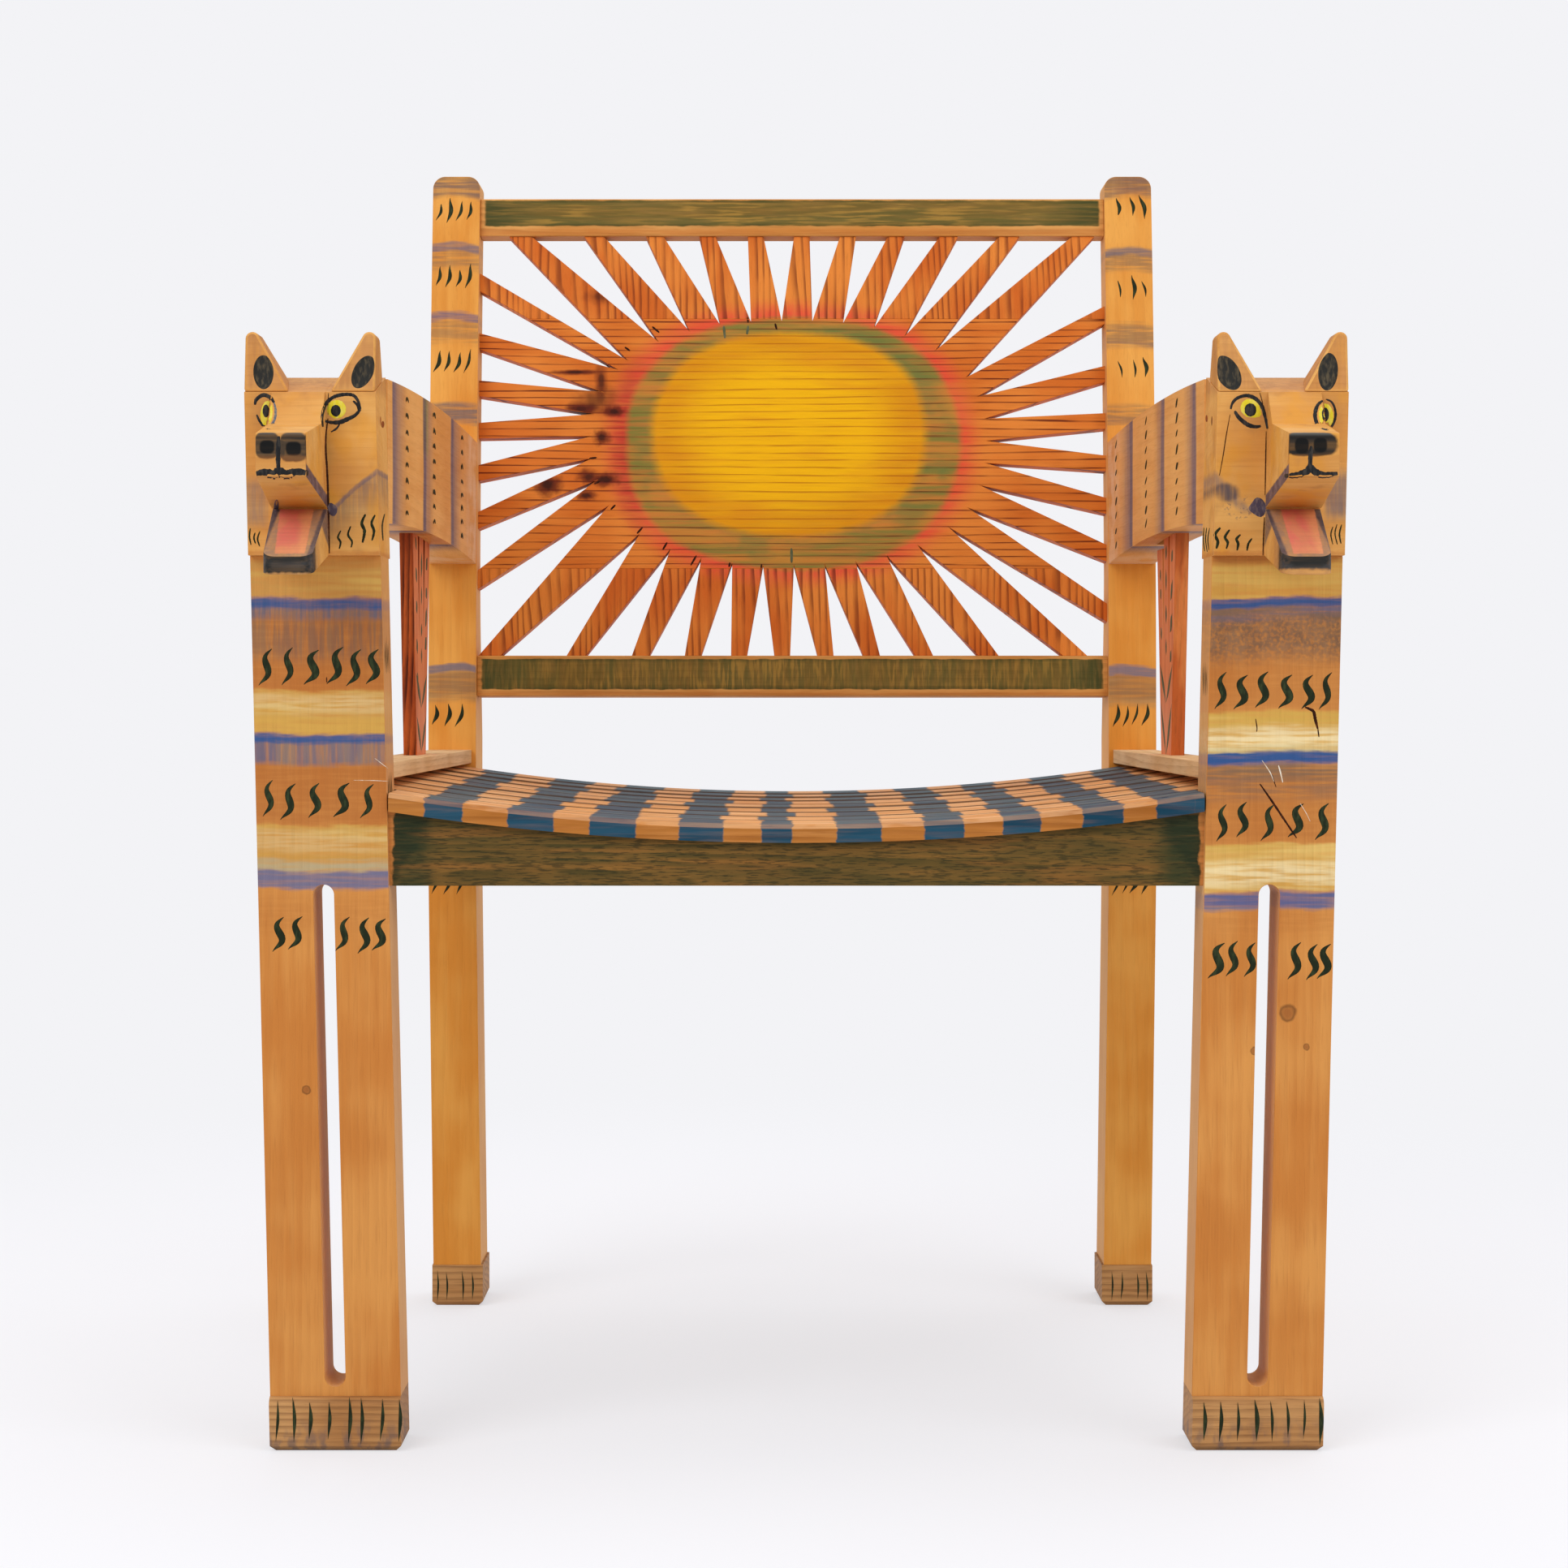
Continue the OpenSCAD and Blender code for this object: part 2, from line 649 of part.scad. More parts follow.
module seat_bearer() {
    y0 = apron_setback + apron_t;
    color(pale_wood) at_home() difference() {
        translate([bearer_x - bearer_w / 2, y0, rail_low_h])
            cube([bearer_w, seat_depth + rear_apron_setback - y0, seat_front_h + over - rail_low_h]);
        above_seat(slat_t);
        nail_holes(1, slat_count - 1);
    }
}

// A side rail from above: a straight strip that runs inwards towards the back leg.
module side_rail_plan() {
    polygon([[side_rail_front_x, front_leg_t], [side_rail_front_x + side_rail_w, front_leg_t],
        [side_rail_back_x + side_rail_w, seat_depth], [side_rail_back_x, seat_depth]]);
}

module lower_side_rail(side) {
    color(pale_wood) on_side(side) difference() {
        union() {
            top_view(rail_low_h, seat_front_h + 2 * over) side_rail_plan();
            lower_rail_stubs();
        }
        above_seat(slat_t);
        nail_holes(1, slat_count - 1);
    }
}

module upper_side_rail(side) {
    color(pale_wood) on_side(side) difference() {
        union() {
            intersection() {
                top_view(upper_rail_top_h - upper_rail_t, upper_rail_top_h) side_rail_plan();
                above_seat(0);
            }
            upper_rail_stubs();
        }
        splat_blank();
    }
}

// The frame of the back: its origin is on the bottom rail's lower front edge.
module back_frame() {
    translate([0, back_face_y(back_low_rail_h) + back_rail_setback, back_low_rail_h])
        rotate([-back_lean, 0, 0]) children();
}

module back_rail_tenons() {
    for (rail = [[0, back_low_rail_w], [sun_high, back_top_rail_w]])
        translate([back_leg_in_x - over, (back_rail_t - tenon_t) / 2, rail[0] + tenon_shoulder])
            cube([over + tenon_l, tenon_t, rail[1] - 2 * tenon_shoulder]);
}

module back_rail(low, w) {
    translate([-back_leg_in_x, 0, low]) cube([2 * back_leg_in_x, back_rail_t, w]);
    for (m = [0, 1]) mirror([m, 0, 0]) intersection() {
        back_rail_tenons();
        translate([0, 0, low]) cube([far, back_rail_t, w]);
    }
}

module back_bottom_rail() {
    color(rail_green) at_home() back_frame() back_rail(0, back_low_rail_w);
}

module back_top_rail() {
    color(rail_green) at_home() back_frame() back_rail(sun_high, back_top_rail_w);
}

// Sunburst, drawn flat: x across the chair and y up the back. The rays were laid out by
// eye, so each side has its own fan. Distances run from the sun's centre.
// A row holds: place of the fan's last ray, how strongly the rays bunch in the middle
// (in degrees), offset of the rays' ends, and offset of their roots.
top_fan = [232, 42, 10.7, 6.7];
right_fan = [123, 39, -17, -7.6];
bottom_fan = [239, 50, -5.4, -8.5];
left_fan = [123, 39, 10, 14.6];
half_wide = ray_count_wide / 2;
half_side = ray_count_side / 2;

// Place of a ray's end along its side, for k from the first ray to the last.
function end_place(fan, k, half) =
    fan[0] * tan(fan[1] * k / (half - 0.5)) / tan(fan[1]) + fan[2];

// Height of the sun's outline at a distance across, as a share of its half height.
function outline_share(share) =
    pow(max(0, 1 - pow(min(1, abs(share)), sun_squareness)), 1 / sun_squareness);

function wide_root(fan, j, up) =
    let (s = root_pitch_wide * j + fan[3])
    [sun_x + s, sun_z + up * sun_half_h * outline_share(s / sun_half_w)];

function side_root(fan, j, out) =
    let (s = root_pitch_side * j + fan[3])
    [sun_x + out * sun_half_w * outline_share(s / sun_half_h), sun_z + s];

// All roots and all ends, clockwise from the top left corner.
roots = concat(
    [for (j = [-half_wide:1:half_wide]) wide_root(top_fan, j, 1)],
    [for (j = [half_side - 1:-1:1 - half_side]) side_root(right_fan, j, 1)],
    [for (j = [half_wide:-1:-half_wide]) wide_root(bottom_fan, j, -1)],
    [for (j = [1 - half_side:1:half_side - 1]) side_root(left_fan, j, -1)]);
ends = concat(
    [for (k = [0.5 - half_wide:1:half_wide - 0.5])
        [sun_x + end_place(top_fan, k, half_wide), sun_high]],
    [for (k = [half_side - 0.5:-1:0.5 - half_side])
        [back_leg_in_x, sun_z + end_place(right_fan, k, half_side)]],
    [for (k = [half_wide - 0.5:-1:0.5 - half_wide])
        [sun_x + end_place(bottom_fan, k, half_wide), sun_low]],
    [for (k = [0.5 - half_side:1:half_side - 0.5])
        [-back_leg_in_x, sun_z + end_place(left_fan, k, half_side)]]);

// Carries an edge of a ray on past the border of the boards.
function beyond(root, edge) = edge + (edge - root) * over / norm(edge - root);

module ray(i) {
    root_a = roots[i];
    root_b = roots[(i + 1) % len(roots)];
    along = ends[i] - (root_a + root_b) / 2;
    aside = [-along[1], along[0]] / norm(along) * ray_w / 2;
    polygon([root_a, beyond(root_a, ends[i] + aside), beyond(root_b, ends[i] - aside), root_b]);
}

module sun_shape() {
    intersection() {
        translate([-back_leg_in_x, sun_low]) square([2 * back_leg_in_x, sun_high - sun_low]);
        union() {
            polygon(roots);
            for (i = [0:len(ends) - 1]) ray(i);
        }
    }
}

module sun_board(low, high) {
    color(sun_wood) at_home() back_frame() front_view(sun_setback, sun_setback + sun_t)
        intersection() {
            sun_shape();
            translate([-back_leg_in_x, low]) square([2 * back_leg_in_x, high - low]);
        }
}

module sun_centre_board() {
    sun_board(sun_z + sun_glue_low, sun_z + sun_glue_high);
}

module sun_upper_rays() {
    sun_board(sun_z + sun_glue_high, sun_high);
}

module sun_lower_rays() {
    sun_board(sun_low, sun_z + sun_glue_low);
}

module arm(side) {
    color(front_wood) on_side(side) difference() {
        intersection() {
            side_view(arm_back_x - over, arm_front_x + arm_t + over) polygon(concat(
                [for (y = arm_depths) [y, arm_top(y)]],
                [for (i = [len(arm_depths) - 1:-1:0]) [arm_depths[i], arm_under(arm_depths[i])]]));
            top_view(arm_under_h - 3 * over, arm_top_h + over) polygon([
                [arm_x(head_back_y), head_back_y], [arm_x(head_back_y) + arm_t, head_back_y],
                [arm_x(arm_end_y) + arm_t, arm_end_y], [arm_x(arm_end_y), arm_end_y]]);
        }
        behind_back_leg_face();
        arm_dowel_set(dowel_d);
        splat_blank();
    }
}

// The space behind the front face of a back leg.
module behind_back_leg_face() {
    zs = back_heights();
    side_view(back_leg_in_x - 2 * over, back_leg_in_x + back_leg_w + 2 * over)
        polygon(concat([for (z = zs) [back_face_y(z), z]],
            [[seat_depth + far, chair_h], [seat_depth + far, back_paw_h]]));
}

// Edges of a side splat from the side, carried on past both of its housings.
splat_high = arm_under_h + splat_arm_housing;
splat_low = upper_rail_top_h - splat_rail_housing;
function splat_half_w(z) = splat_low_w / 2
    + (splat_high_w - splat_low_w) / 2 * (z - upper_rail_top_h) / (arm_under_h - upper_rail_top_h);

module splat_outline() {
    polygon([[splat_y - splat_half_w(splat_low), splat_low],
        [splat_y + splat_half_w(splat_low), splat_low],
        [splat_y + splat_half_w(splat_high), splat_high],
        [splat_y - splat_half_w(splat_high), splat_high]]);
}

module splat_blank() {
    side_view(splat_x, splat_x + splat_t) splat_outline();
}

module splat_cut(place) {
    top_w = splat_cut_w * (splat_high - arm_under_h + splat_cut_l) / splat_cut_l;
    y = splat_y + place * splat_high_w / 3;
    polygon([[y - place * splat_high_w / 12, arm_under_h - splat_cut_l],
        [y + top_w / 2, splat_high + through], [y - top_w / 2, splat_high + through]]);
}

module side_splat(side) {
    finger_y = splat_y + splat_high_w / 6;
    color(splat_wood) on_side(side) side_view(splat_x, splat_x + splat_t) difference() {
        splat_outline();
        for (place = [-0.5, 0.5]) splat_cut(place);
        if (side == "right")
            translate([finger_y, arm_under_h - short_finger_gap]) square([splat_high_w, far]);
    }
}

// A head's two boards from the side, below its sloping top.
module head_profile() {
    polygon([[face_y, front_leg_top_h], [head_back_y, front_leg_top_h],
        [head_back_y, head_back_h], [face_y, head_front_h]]);
}

module muzzle_profile() {
    polygon([[face_y + through, head_front_h], [face_y, head_front_h], [face_y - brow_l, muzzle_back_h],
        [face_y - muzzle_l, nose_top_h], [face_y - muzzle_l, upper_lip_h],
        [face_y, mouth_corner_h], [face_y + through, mouth_corner_h]]);
}

module jaw_profile() {
    polygon([[face_y + through, mouth_corner_h], [face_y, mouth_corner_h],
        [face_y - jaw_l, lower_lip_h], [face_y - jaw_l, lip_base_h],
        [face_y, front_leg_top_h], [face_y + through, front_leg_top_h]]);
}

// Muzzle and jaw from above: a tongue that narrows a little towards its end.
module tongue_plan(x0, length) {
    polygon([[x0, face_y + through], [x0 + muzzle_root_w, face_y + through],
        [x0 + muzzle_root_w, face_y], [x0 + muzzle_w, face_y - length], [x0, face_y - length]]);
}

// The jaw from above, with rounded corners at the lower lip.
module jaw_plan() {
    x0 = glue_x(lip_base_h);
    tip = face_y - jaw_l;
    tongue_plan(x0, jaw_l - lip_r);
    for (x = [x0 + lip_r, x0 + muzzle_w - lip_r])
        translate([x, tip + lip_r]) circle(r = lip_r, $fn = fine);
    translate([x0 + lip_r, tip]) square([muzzle_w - 2 * lip_r, 2 * lip_r]);
}

module muzzle_board(side) {
    color(front_wood) on_side(side) difference() {
        union() {
            intersection() {
                side_view(glue_x(0), outer_x(chair_h)) head_profile();
                front_view(face_y - over, head_back_y + over) leaning_strip(front_leg_top_h,
                    head_back_h, cheek_board_w, front_leg_w - cheek_board_w);
            }
            intersection() {
                side_view(glue_x(0), outer_x(chair_h)) muzzle_profile();
                top_view(lip_base_h, head_back_h) tongue_plan(glue_x(mouth_corner_h), muzzle_l);
                front_view(face_y - muzzle_l - over, head_back_y)
                    leaning_strip(lip_base_h, head_back_h, cheek_board_w, muzzle_root_w + through);
            }
            intersection() {
                side_view(glue_x(0), outer_x(chair_h)) jaw_profile();
                top_view(lip_base_h, mouth_corner_h) jaw_plan();
                front_view(face_y - muzzle_l - over, head_back_y)
                    leaning_strip(lip_base_h, head_back_h, cheek_board_w, muzzle_root_w + through);
            }
        }
        head_dowel_set(dowel_d);
        head_peg(peg_d);
    }
}

module cheek_board(side) {
    color(front_wood) on_side(side) difference() {
        intersection() {
            side_view(inner_x(0), outer_x(chair_h)) head_profile();
            front_view(face_y - over, head_back_y + over)
                leaning_strip(front_leg_top_h, head_back_h, 0, cheek_board_w);
        }
        head_dowel_set(dowel_d);
        arm_dowel_set(dowel_d);
        head_peg(peg_d);
        translate([inner_x(head_peg_h) - through, head_peg_y, head_peg_h])
            rotate([0, 90, 0]) cylinder(d = peg_d, h = 2 * through, $fn = fine);
    }
}

// An ear from the front: x from its upright edge inwards, y from the head's top edge.
module ear_outline() {
    centre = [ear_tip_r, ear_rise - ear_tip_r];
    foot = [ear_w, 0];
    way = centre - foot;
    reach = sqrt(way * way - ear_tip_r * ear_tip_r);
    angle = atan2(way[1], way[0]) - asin(ear_tip_r / norm(way));
    touch = foot + reach * [cos(angle), sin(angle)];
    polygon([[0, 0], foot, touch, centre, [0, centre[1]]]);
    translate(centre) circle(r = ear_tip_r, $fn = fine);
}

// An ear from the side, standing on the slope of the head's top.
module ear_profile() {
    polygon([[face_y, head_top(face_y)], [face_y + ear_base_t, head_top(face_y + ear_base_t)],
        [face_y + ear_face_lean + ear_tip_t, head_front_h + ear_rise],
        [face_y + ear_face_lean, head_front_h + ear_rise]]);
}

module ear(side, edge_x, way) {
    color(front_wood) on_side(side) intersection() {
        front_view(face_y - over, head_back_y)
            translate([edge_x, head_front_h]) mirror([way < 0 ? 1 : 0, 0]) ear_outline();
        side_view(inner_x(0), outer_x(chair_h)) ear_profile();
    }
}

module ear_outer(side) {
    ear(side, outer_x(head_front_h), -1);
}

module ear_inner(side) {
    ear(side, inner_x(head_back_h), 1);
}

module both_sides() {
    on_side("left") children();
    on_side("right") children();
}

module arm_dowels() {
    color(dowel_wood) both_sides() arm_dowel_set(dowel_d - 2 * dowel_play);
}

module head_dowels() {
    color(dowel_wood) both_sides() head_dowel_set(dowel_d - 2 * dowel_play);
}

module paw_dowels() {
    color(dowel_wood) both_sides() {
        front_paw_dowel_set(dowel_d - 2 * dowel_play);
        back_paw_dowel_set(dowel_d - 2 * dowel_play);
    }
}

module head_pegs() {
    color(splat_wood) both_sides() head_peg(peg_d);
}

module slat_nails() {
    color(nail_steel) at_home() seat_frame() for (i = [0:slat_count - 1]) for (spot = nail_spots(i))
        translate([0, spot[1], 0]) around_hollow(spot[0]) slat_nail();
}

module seat_slat(i) {
    half = slat_end_x(i);
    y0 = i * slat_pitch;
    color(slat_colours[i % 2]) at_home() difference() {
        seat_frame() difference() {
            front_view(y0, y0 + slat_w) intersection() {
                difference() {
                    translate([0, seat_hollow_r]) circle(r = seat_hollow_r + slat_t, $fn = seat_fine);
                    translate([0, seat_hollow_r]) circle(r = seat_hollow_r, $fn = seat_fine);
                }
                translate([-half, -2 * slat_t]) square([2 * half, far]);
            }
            if (i == 0)
                front_edge_chamfer();
        }
        nail_holes(i, i);
    }
}

// Takes the sharp edge off the front slat along the hollow.
module front_edge_chamfer() {
    r = seat_hollow_r;
    translate([0, 0, r]) rotate([-90, 0, 0]) rotate_extrude($fn = seat_fine)
        polygon([[r - through, -through], [r + slat_chamfer + through, -through],
            [r - through, slat_chamfer + through]]);
}

front_leg("left");  // front_leg_left
front_leg("right");  // front_leg_right
front_paw("left");  // front_paw_left
front_paw("right");  // front_paw_right
back_leg("left");  // back_leg_left
back_leg("right");  // back_leg_right
back_paw("left");  // back_paw_left
back_paw("right");  // back_paw_right
front_apron();
rear_apron();
seat_bearer();
lower_side_rail("left");  // lower_side_rail_left
lower_side_rail("right");  // lower_side_rail_right
upper_side_rail("left");  // upper_side_rail_left
upper_side_rail("right");  // upper_side_rail_right
back_bottom_rail();
back_top_rail();
sun_centre_board();
sun_upper_rays();
sun_lower_rays();
arm("left");  // arm_left
arm("right");  // arm_right
side_splat("left");  // side_splat_left
side_splat("right");  // side_splat_right
muzzle_board("left");  // muzzle_board_left
muzzle_board("right");  // muzzle_board_right
cheek_board("left");  // cheek_board_left
cheek_board("right");  // cheek_board_right
ear_outer("left");  // ear_outer_left
ear_outer("right");  // ear_outer_right
ear_inner("left");  // ear_inner_left
ear_inner("right");  // ear_inner_right
arm_dowels();
head_dowels();
paw_dowels();
head_pegs();
slat_nails();
for (i = [0:slat_count - 1])
    seat_slat(i);
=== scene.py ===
"""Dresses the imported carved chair: worn timber, painted bands, a sun, checks and brush marks.

Lengths in this file are millimetres until a mesh or a lamp is made. Depths run from the front
faces of the front legs, heights from the floor, and left and right are as seen from the front.
"""

import logging
import math
from collections.abc import Sequence
from dataclasses import dataclass, field
from enum import Enum
from random import Random

import bmesh
import bpy
from mathutils import Matrix, Vector
from mathutils.bvhtree import BVHTree


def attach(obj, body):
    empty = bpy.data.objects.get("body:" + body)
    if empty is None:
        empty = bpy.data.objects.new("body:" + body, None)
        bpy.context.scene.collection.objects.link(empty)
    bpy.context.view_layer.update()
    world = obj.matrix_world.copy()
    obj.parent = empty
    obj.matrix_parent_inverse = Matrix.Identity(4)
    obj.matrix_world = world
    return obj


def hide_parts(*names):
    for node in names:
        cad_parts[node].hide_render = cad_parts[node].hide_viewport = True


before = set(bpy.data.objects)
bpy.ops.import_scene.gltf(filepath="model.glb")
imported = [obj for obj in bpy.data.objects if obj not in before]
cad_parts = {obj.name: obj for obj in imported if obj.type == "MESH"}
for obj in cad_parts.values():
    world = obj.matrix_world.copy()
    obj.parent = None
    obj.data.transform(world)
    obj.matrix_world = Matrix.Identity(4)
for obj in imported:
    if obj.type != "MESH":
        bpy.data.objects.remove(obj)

LOG = logging.getLogger("carved_chair")
MM = 0.001
# Depth of the frame's origin behind the front legs' faces.
MIDDLE_DEPTH = 219.5
# A pattern that isn't drawn out in any direction.
EVEN = (1.0, 1.0, 1.0)
Colour = tuple[float, float, float]
Point = tuple[float, float]


def paint(red: int, green: int, blue: int) -> Colour:
    """Turns a colour written as 0 to 255 into the linear one that shaders take.

    Args:
        red: Red part.
        green: Green part.
        blue: Blue part.

    Returns:
        The linear colour.
    """
    parts = []
    for part in (red, green, blue):
        share = part / 255.0
        parts.append(share / 12.92 if share <= 0.04045 else ((share + 0.055) / 1.055) ** 2.4)
    return (parts[0], parts[1], parts[2])


def at(x: float, depth: float, height: float) -> Vector:
    """Gives a point in metres, from its X, its depth behind the front legs and its height."""
    return Vector((x * MM, (depth - MIDDLE_DEPTH) * MM, height * MM))


class Grain(Enum):
    """The way the fibres run: how a pattern is drawn out, and where growth rings are counted."""

    ACROSS = ((0.07, 1.0, 1.0), (0.0, 0.4, 1.0))
    DEPTH = ((1.0, 0.07, 1.0), (0.5, 0.0, 1.0))
    UPRIGHT = ((1.0, 1.0, 0.07), (1.0, 0.4, 0.0))

    @property
    def stretch(self) -> tuple[float, float, float]:
        """Factors on the coordinates that draw spots out along the fibres."""
        return self.value[0]

    @property
    def across(self) -> tuple[float, float, float]:
        """Weights of the coordinates in the count of growth rings."""
        return self.value[1]


class Side(Enum):
    """A side of the chair as seen from the front, with the sign of its X."""

    LEFT = -1
    RIGHT = 1

    @property
    def word(self) -> str:
        """The side's word in the names of nodes."""
        return self.name.lower()


def per_side(left: object, right: object) -> object:
    """Gives a dataclass field that holds one value for each side."""
    return field(default_factory=lambda: {Side.LEFT: left, Side.RIGHT: right})


@dataclass(frozen=True)
class Timber:
    """The colours and the figure of one kind of board."""

    pale: Colour
    deep: Colour
    line: Colour
    grain: Grain
    ring_gap: float = 8.0
    ring_wave: float = 2.0
    ring_depth: float = 0.3
    ring_sharpness: float = 3.0
    fleck_depth: float = 0.3
    roughness: float = 0.52


@dataclass(frozen=True)
class Band:
    """A soft band of paint across a post, between two heights."""

    low: float
    high: float
    colour: Colour
    strength: float = 0.8
    softness: float = 2.5
    streaks: float = 0.35
    second: Colour | None = None
    brush: Grain = Grain.ACROSS


HONEY = Timber(paint(215, 148, 76), paint(198, 124, 55), paint(148, 86, 40), Grain.UPRIGHT,
               ring_gap=6.5, ring_wave=2.4, ring_depth=0.12, ring_sharpness=2.0, fleck_depth=0.2)
ORANGE = Timber(paint(234, 166, 78), paint(220, 142, 54), paint(176, 104, 40), Grain.UPRIGHT,
                ring_gap=8.0, ring_depth=0.08, fleck_depth=0.15)
ARM_WOOD = Timber(paint(238, 178, 106), paint(222, 154, 82), paint(176, 112, 56), Grain.DEPTH,
                  ring_gap=8.0, ring_wave=2.0, ring_depth=0.1, fleck_depth=0.15)
HEAD_WOOD = Timber(paint(230, 174, 98), paint(212, 148, 74), paint(168, 108, 54), Grain.ACROSS,
                   ring_gap=6.0, ring_wave=2.4, ring_depth=0.1, fleck_depth=0.15)
PAW_WOOD = Timber(paint(198, 148, 94), paint(172, 120, 70), paint(116, 76, 44), Grain.ACROSS,
                  ring_gap=5.0, ring_wave=1.6, ring_depth=0.5, fleck_depth=0.45)
SUN_ACROSS = Timber(paint(230, 136, 54), paint(210, 108, 34), paint(98, 30, 8), Grain.ACROSS,
                    ring_gap=6.8, ring_wave=1.5, ring_depth=0.95, ring_sharpness=8.0,
                    fleck_depth=0.14)
SUN_UPRIGHT = Timber(paint(232, 138, 56), paint(208, 102, 32), paint(110, 38, 12), Grain.UPRIGHT,
                     ring_gap=6.8, ring_wave=3.0, ring_depth=0.7, ring_sharpness=4.0,
                     fleck_depth=0.16)
RAW_ACROSS = Timber(paint(236, 198, 148), paint(220, 174, 122), paint(178, 128, 84), Grain.ACROSS,
                    ring_gap=6.0, ring_depth=0.35, fleck_depth=0.3, roughness=0.7)
RAW_DEPTH = Timber(paint(240, 204, 156), paint(224, 180, 128), paint(180, 132, 88), Grain.DEPTH,
                   ring_gap=5.0, ring_depth=0.35, fleck_depth=0.3, roughness=0.7)
SPLAT_WOOD = Timber(paint(190, 90, 38), paint(158, 66, 26), paint(66, 22, 10), Grain.UPRIGHT,
                    ring_gap=4.6, ring_wave=1.6, ring_depth=0.95, ring_sharpness=2.6,
                    fleck_depth=0.3)
APRON_WOOD = Timber(paint(156, 106, 46), paint(120, 84, 36), paint(40, 46, 20), Grain.ACROSS,
                    ring_gap=8.0, ring_wave=4.6, ring_depth=0.8, ring_sharpness=2.4,
                    fleck_depth=0.4)
RAIL_WOOD = Timber(paint(222, 160, 88), paint(204, 136, 62), paint(150, 94, 42), Grain.ACROSS,
                   ring_gap=6.0, ring_depth=0.35, fleck_depth=0.3)
SLAT_WOOD = Timber(paint(232, 166, 98), paint(212, 134, 68), paint(128, 66, 32), Grain.ACROSS,
                   ring_gap=7.0, ring_wave=2.4, ring_depth=0.6, ring_sharpness=3.0,
                   fleck_depth=0.45)

INK = paint(28, 36, 18)
SLATE = paint(84, 80, 88)
BLUE = paint(36, 82, 140)
HAZE = paint(122, 98, 78)
STRAW = paint(206, 166, 78)
CREAM = paint(224, 190, 110)
MILK = paint(248, 232, 190)
OLIVE = paint(216, 178, 92)
UMBER = paint(176, 104, 48)


class Value:
    """A number inside a node tree, which Python's operators turn into Math nodes."""

    def __init__(self, graph: "Graph", socket: bpy.types.NodeSocket) -> None:
        """Wraps the socket of a graph that carries the number."""
        self.graph = graph
        self.socket = socket

    def math(self, operation: str, *others: "Value | float") -> "Value":
        """Runs a Math node on this value and the others."""
        return self.graph.math(operation, self, *others)

    def __add__(self, other: "Value | float") -> "Value":
        """Adds a number."""
        return self.math("ADD", other)

    def __sub__(self, other: "Value | float") -> "Value":
        """Subtracts a number."""
        return self.math("SUBTRACT", other)

    def __mul__(self, other: "Value | float") -> "Value":
        """Multiplies by a number."""
        return self.math("MULTIPLY", other)

    def __truediv__(self, other: "Value | float") -> "Value":
        """Divides by a number."""
        return self.math("DIVIDE", other)

    def __pow__(self, other: "Value | float") -> "Value":
        """Raises to a power."""
        return self.math("POWER", other)

    def __abs__(self) -> "Value":
        """Drops the sign."""
        return self.math("ABSOLUTE")

    def either(self, other: "Value | float") -> "Value":
        """Takes the larger of two."""
        return self.math("MAXIMUM", other)

    def inverse(self) -> "Value":
        """Gives one minus this."""
        return self.graph.math("SUBTRACT", 1.0, self)

    def step(self, low: float, high: float) -> "Value":
        """Turns smoothly from 0 at low to 1 at high, where low may be the larger."""
        node = self.graph.add("ShaderNodeMapRange", self, low, high,
                              interpolation_type="SMOOTHSTEP")
        return Value(self.graph, node.outputs[0])

    def between(self, low: float, high: float, soft: float) -> "Value":
        """Is 1 between two limits and falls to 0 over edges twice as wide as soft."""
        return self.step(low - soft, low + soft) * self.step(high + soft, high - soft)


class Graph:
    """A node tree under construction."""

    def __init__(self, tree: bpy.types.NodeTree) -> None:
        """Empties a tree and takes it over."""
        tree.nodes.clear()
        self.tree = tree

    def add(self, kind: str, *inputs: object, **named: object) -> bpy.types.Node:
        """Adds a node.

        Args:
            kind: Blender's name of the node.
            *inputs: Its first inputs in order.
            **named: Its properties, in lower case, and other inputs, with capitals.

        Returns:
            The node.
        """
        node = self.tree.nodes.new(kind)
        for name, value in named.items():
            if name.islower():
                setattr(node, name, value)
        for socket, value in zip(node.inputs, inputs):
            self.feed(socket, value)
        for name, value in named.items():
            if not name.islower():
                self.feed(node.inputs[name.replace("_", " ")], value)
        return node

    def feed(self, socket: bpy.types.NodeSocket, value: object) -> None:
        """Fills an input.

        Args:
            socket: The input.
            value: A Value, a node, a socket, a number or a colour.
        """
        if isinstance(value, Value):
            value = value.socket
        if isinstance(value, bpy.types.Node):
            value = value.outputs[0]
        if isinstance(value, bpy.types.NodeSocket):
            self.tree.links.new(value, socket)
        elif socket.type == "RGBA":
            socket.default_value = (*value, 1.0)
        else:
            socket.default_value = value

    def math(self, operation: str, *values: Value | float) -> Value:
        """Adds a Math node and returns its result."""
        return Value(self, self.add("ShaderNodeMath", *values, operation=operation).outputs[0])


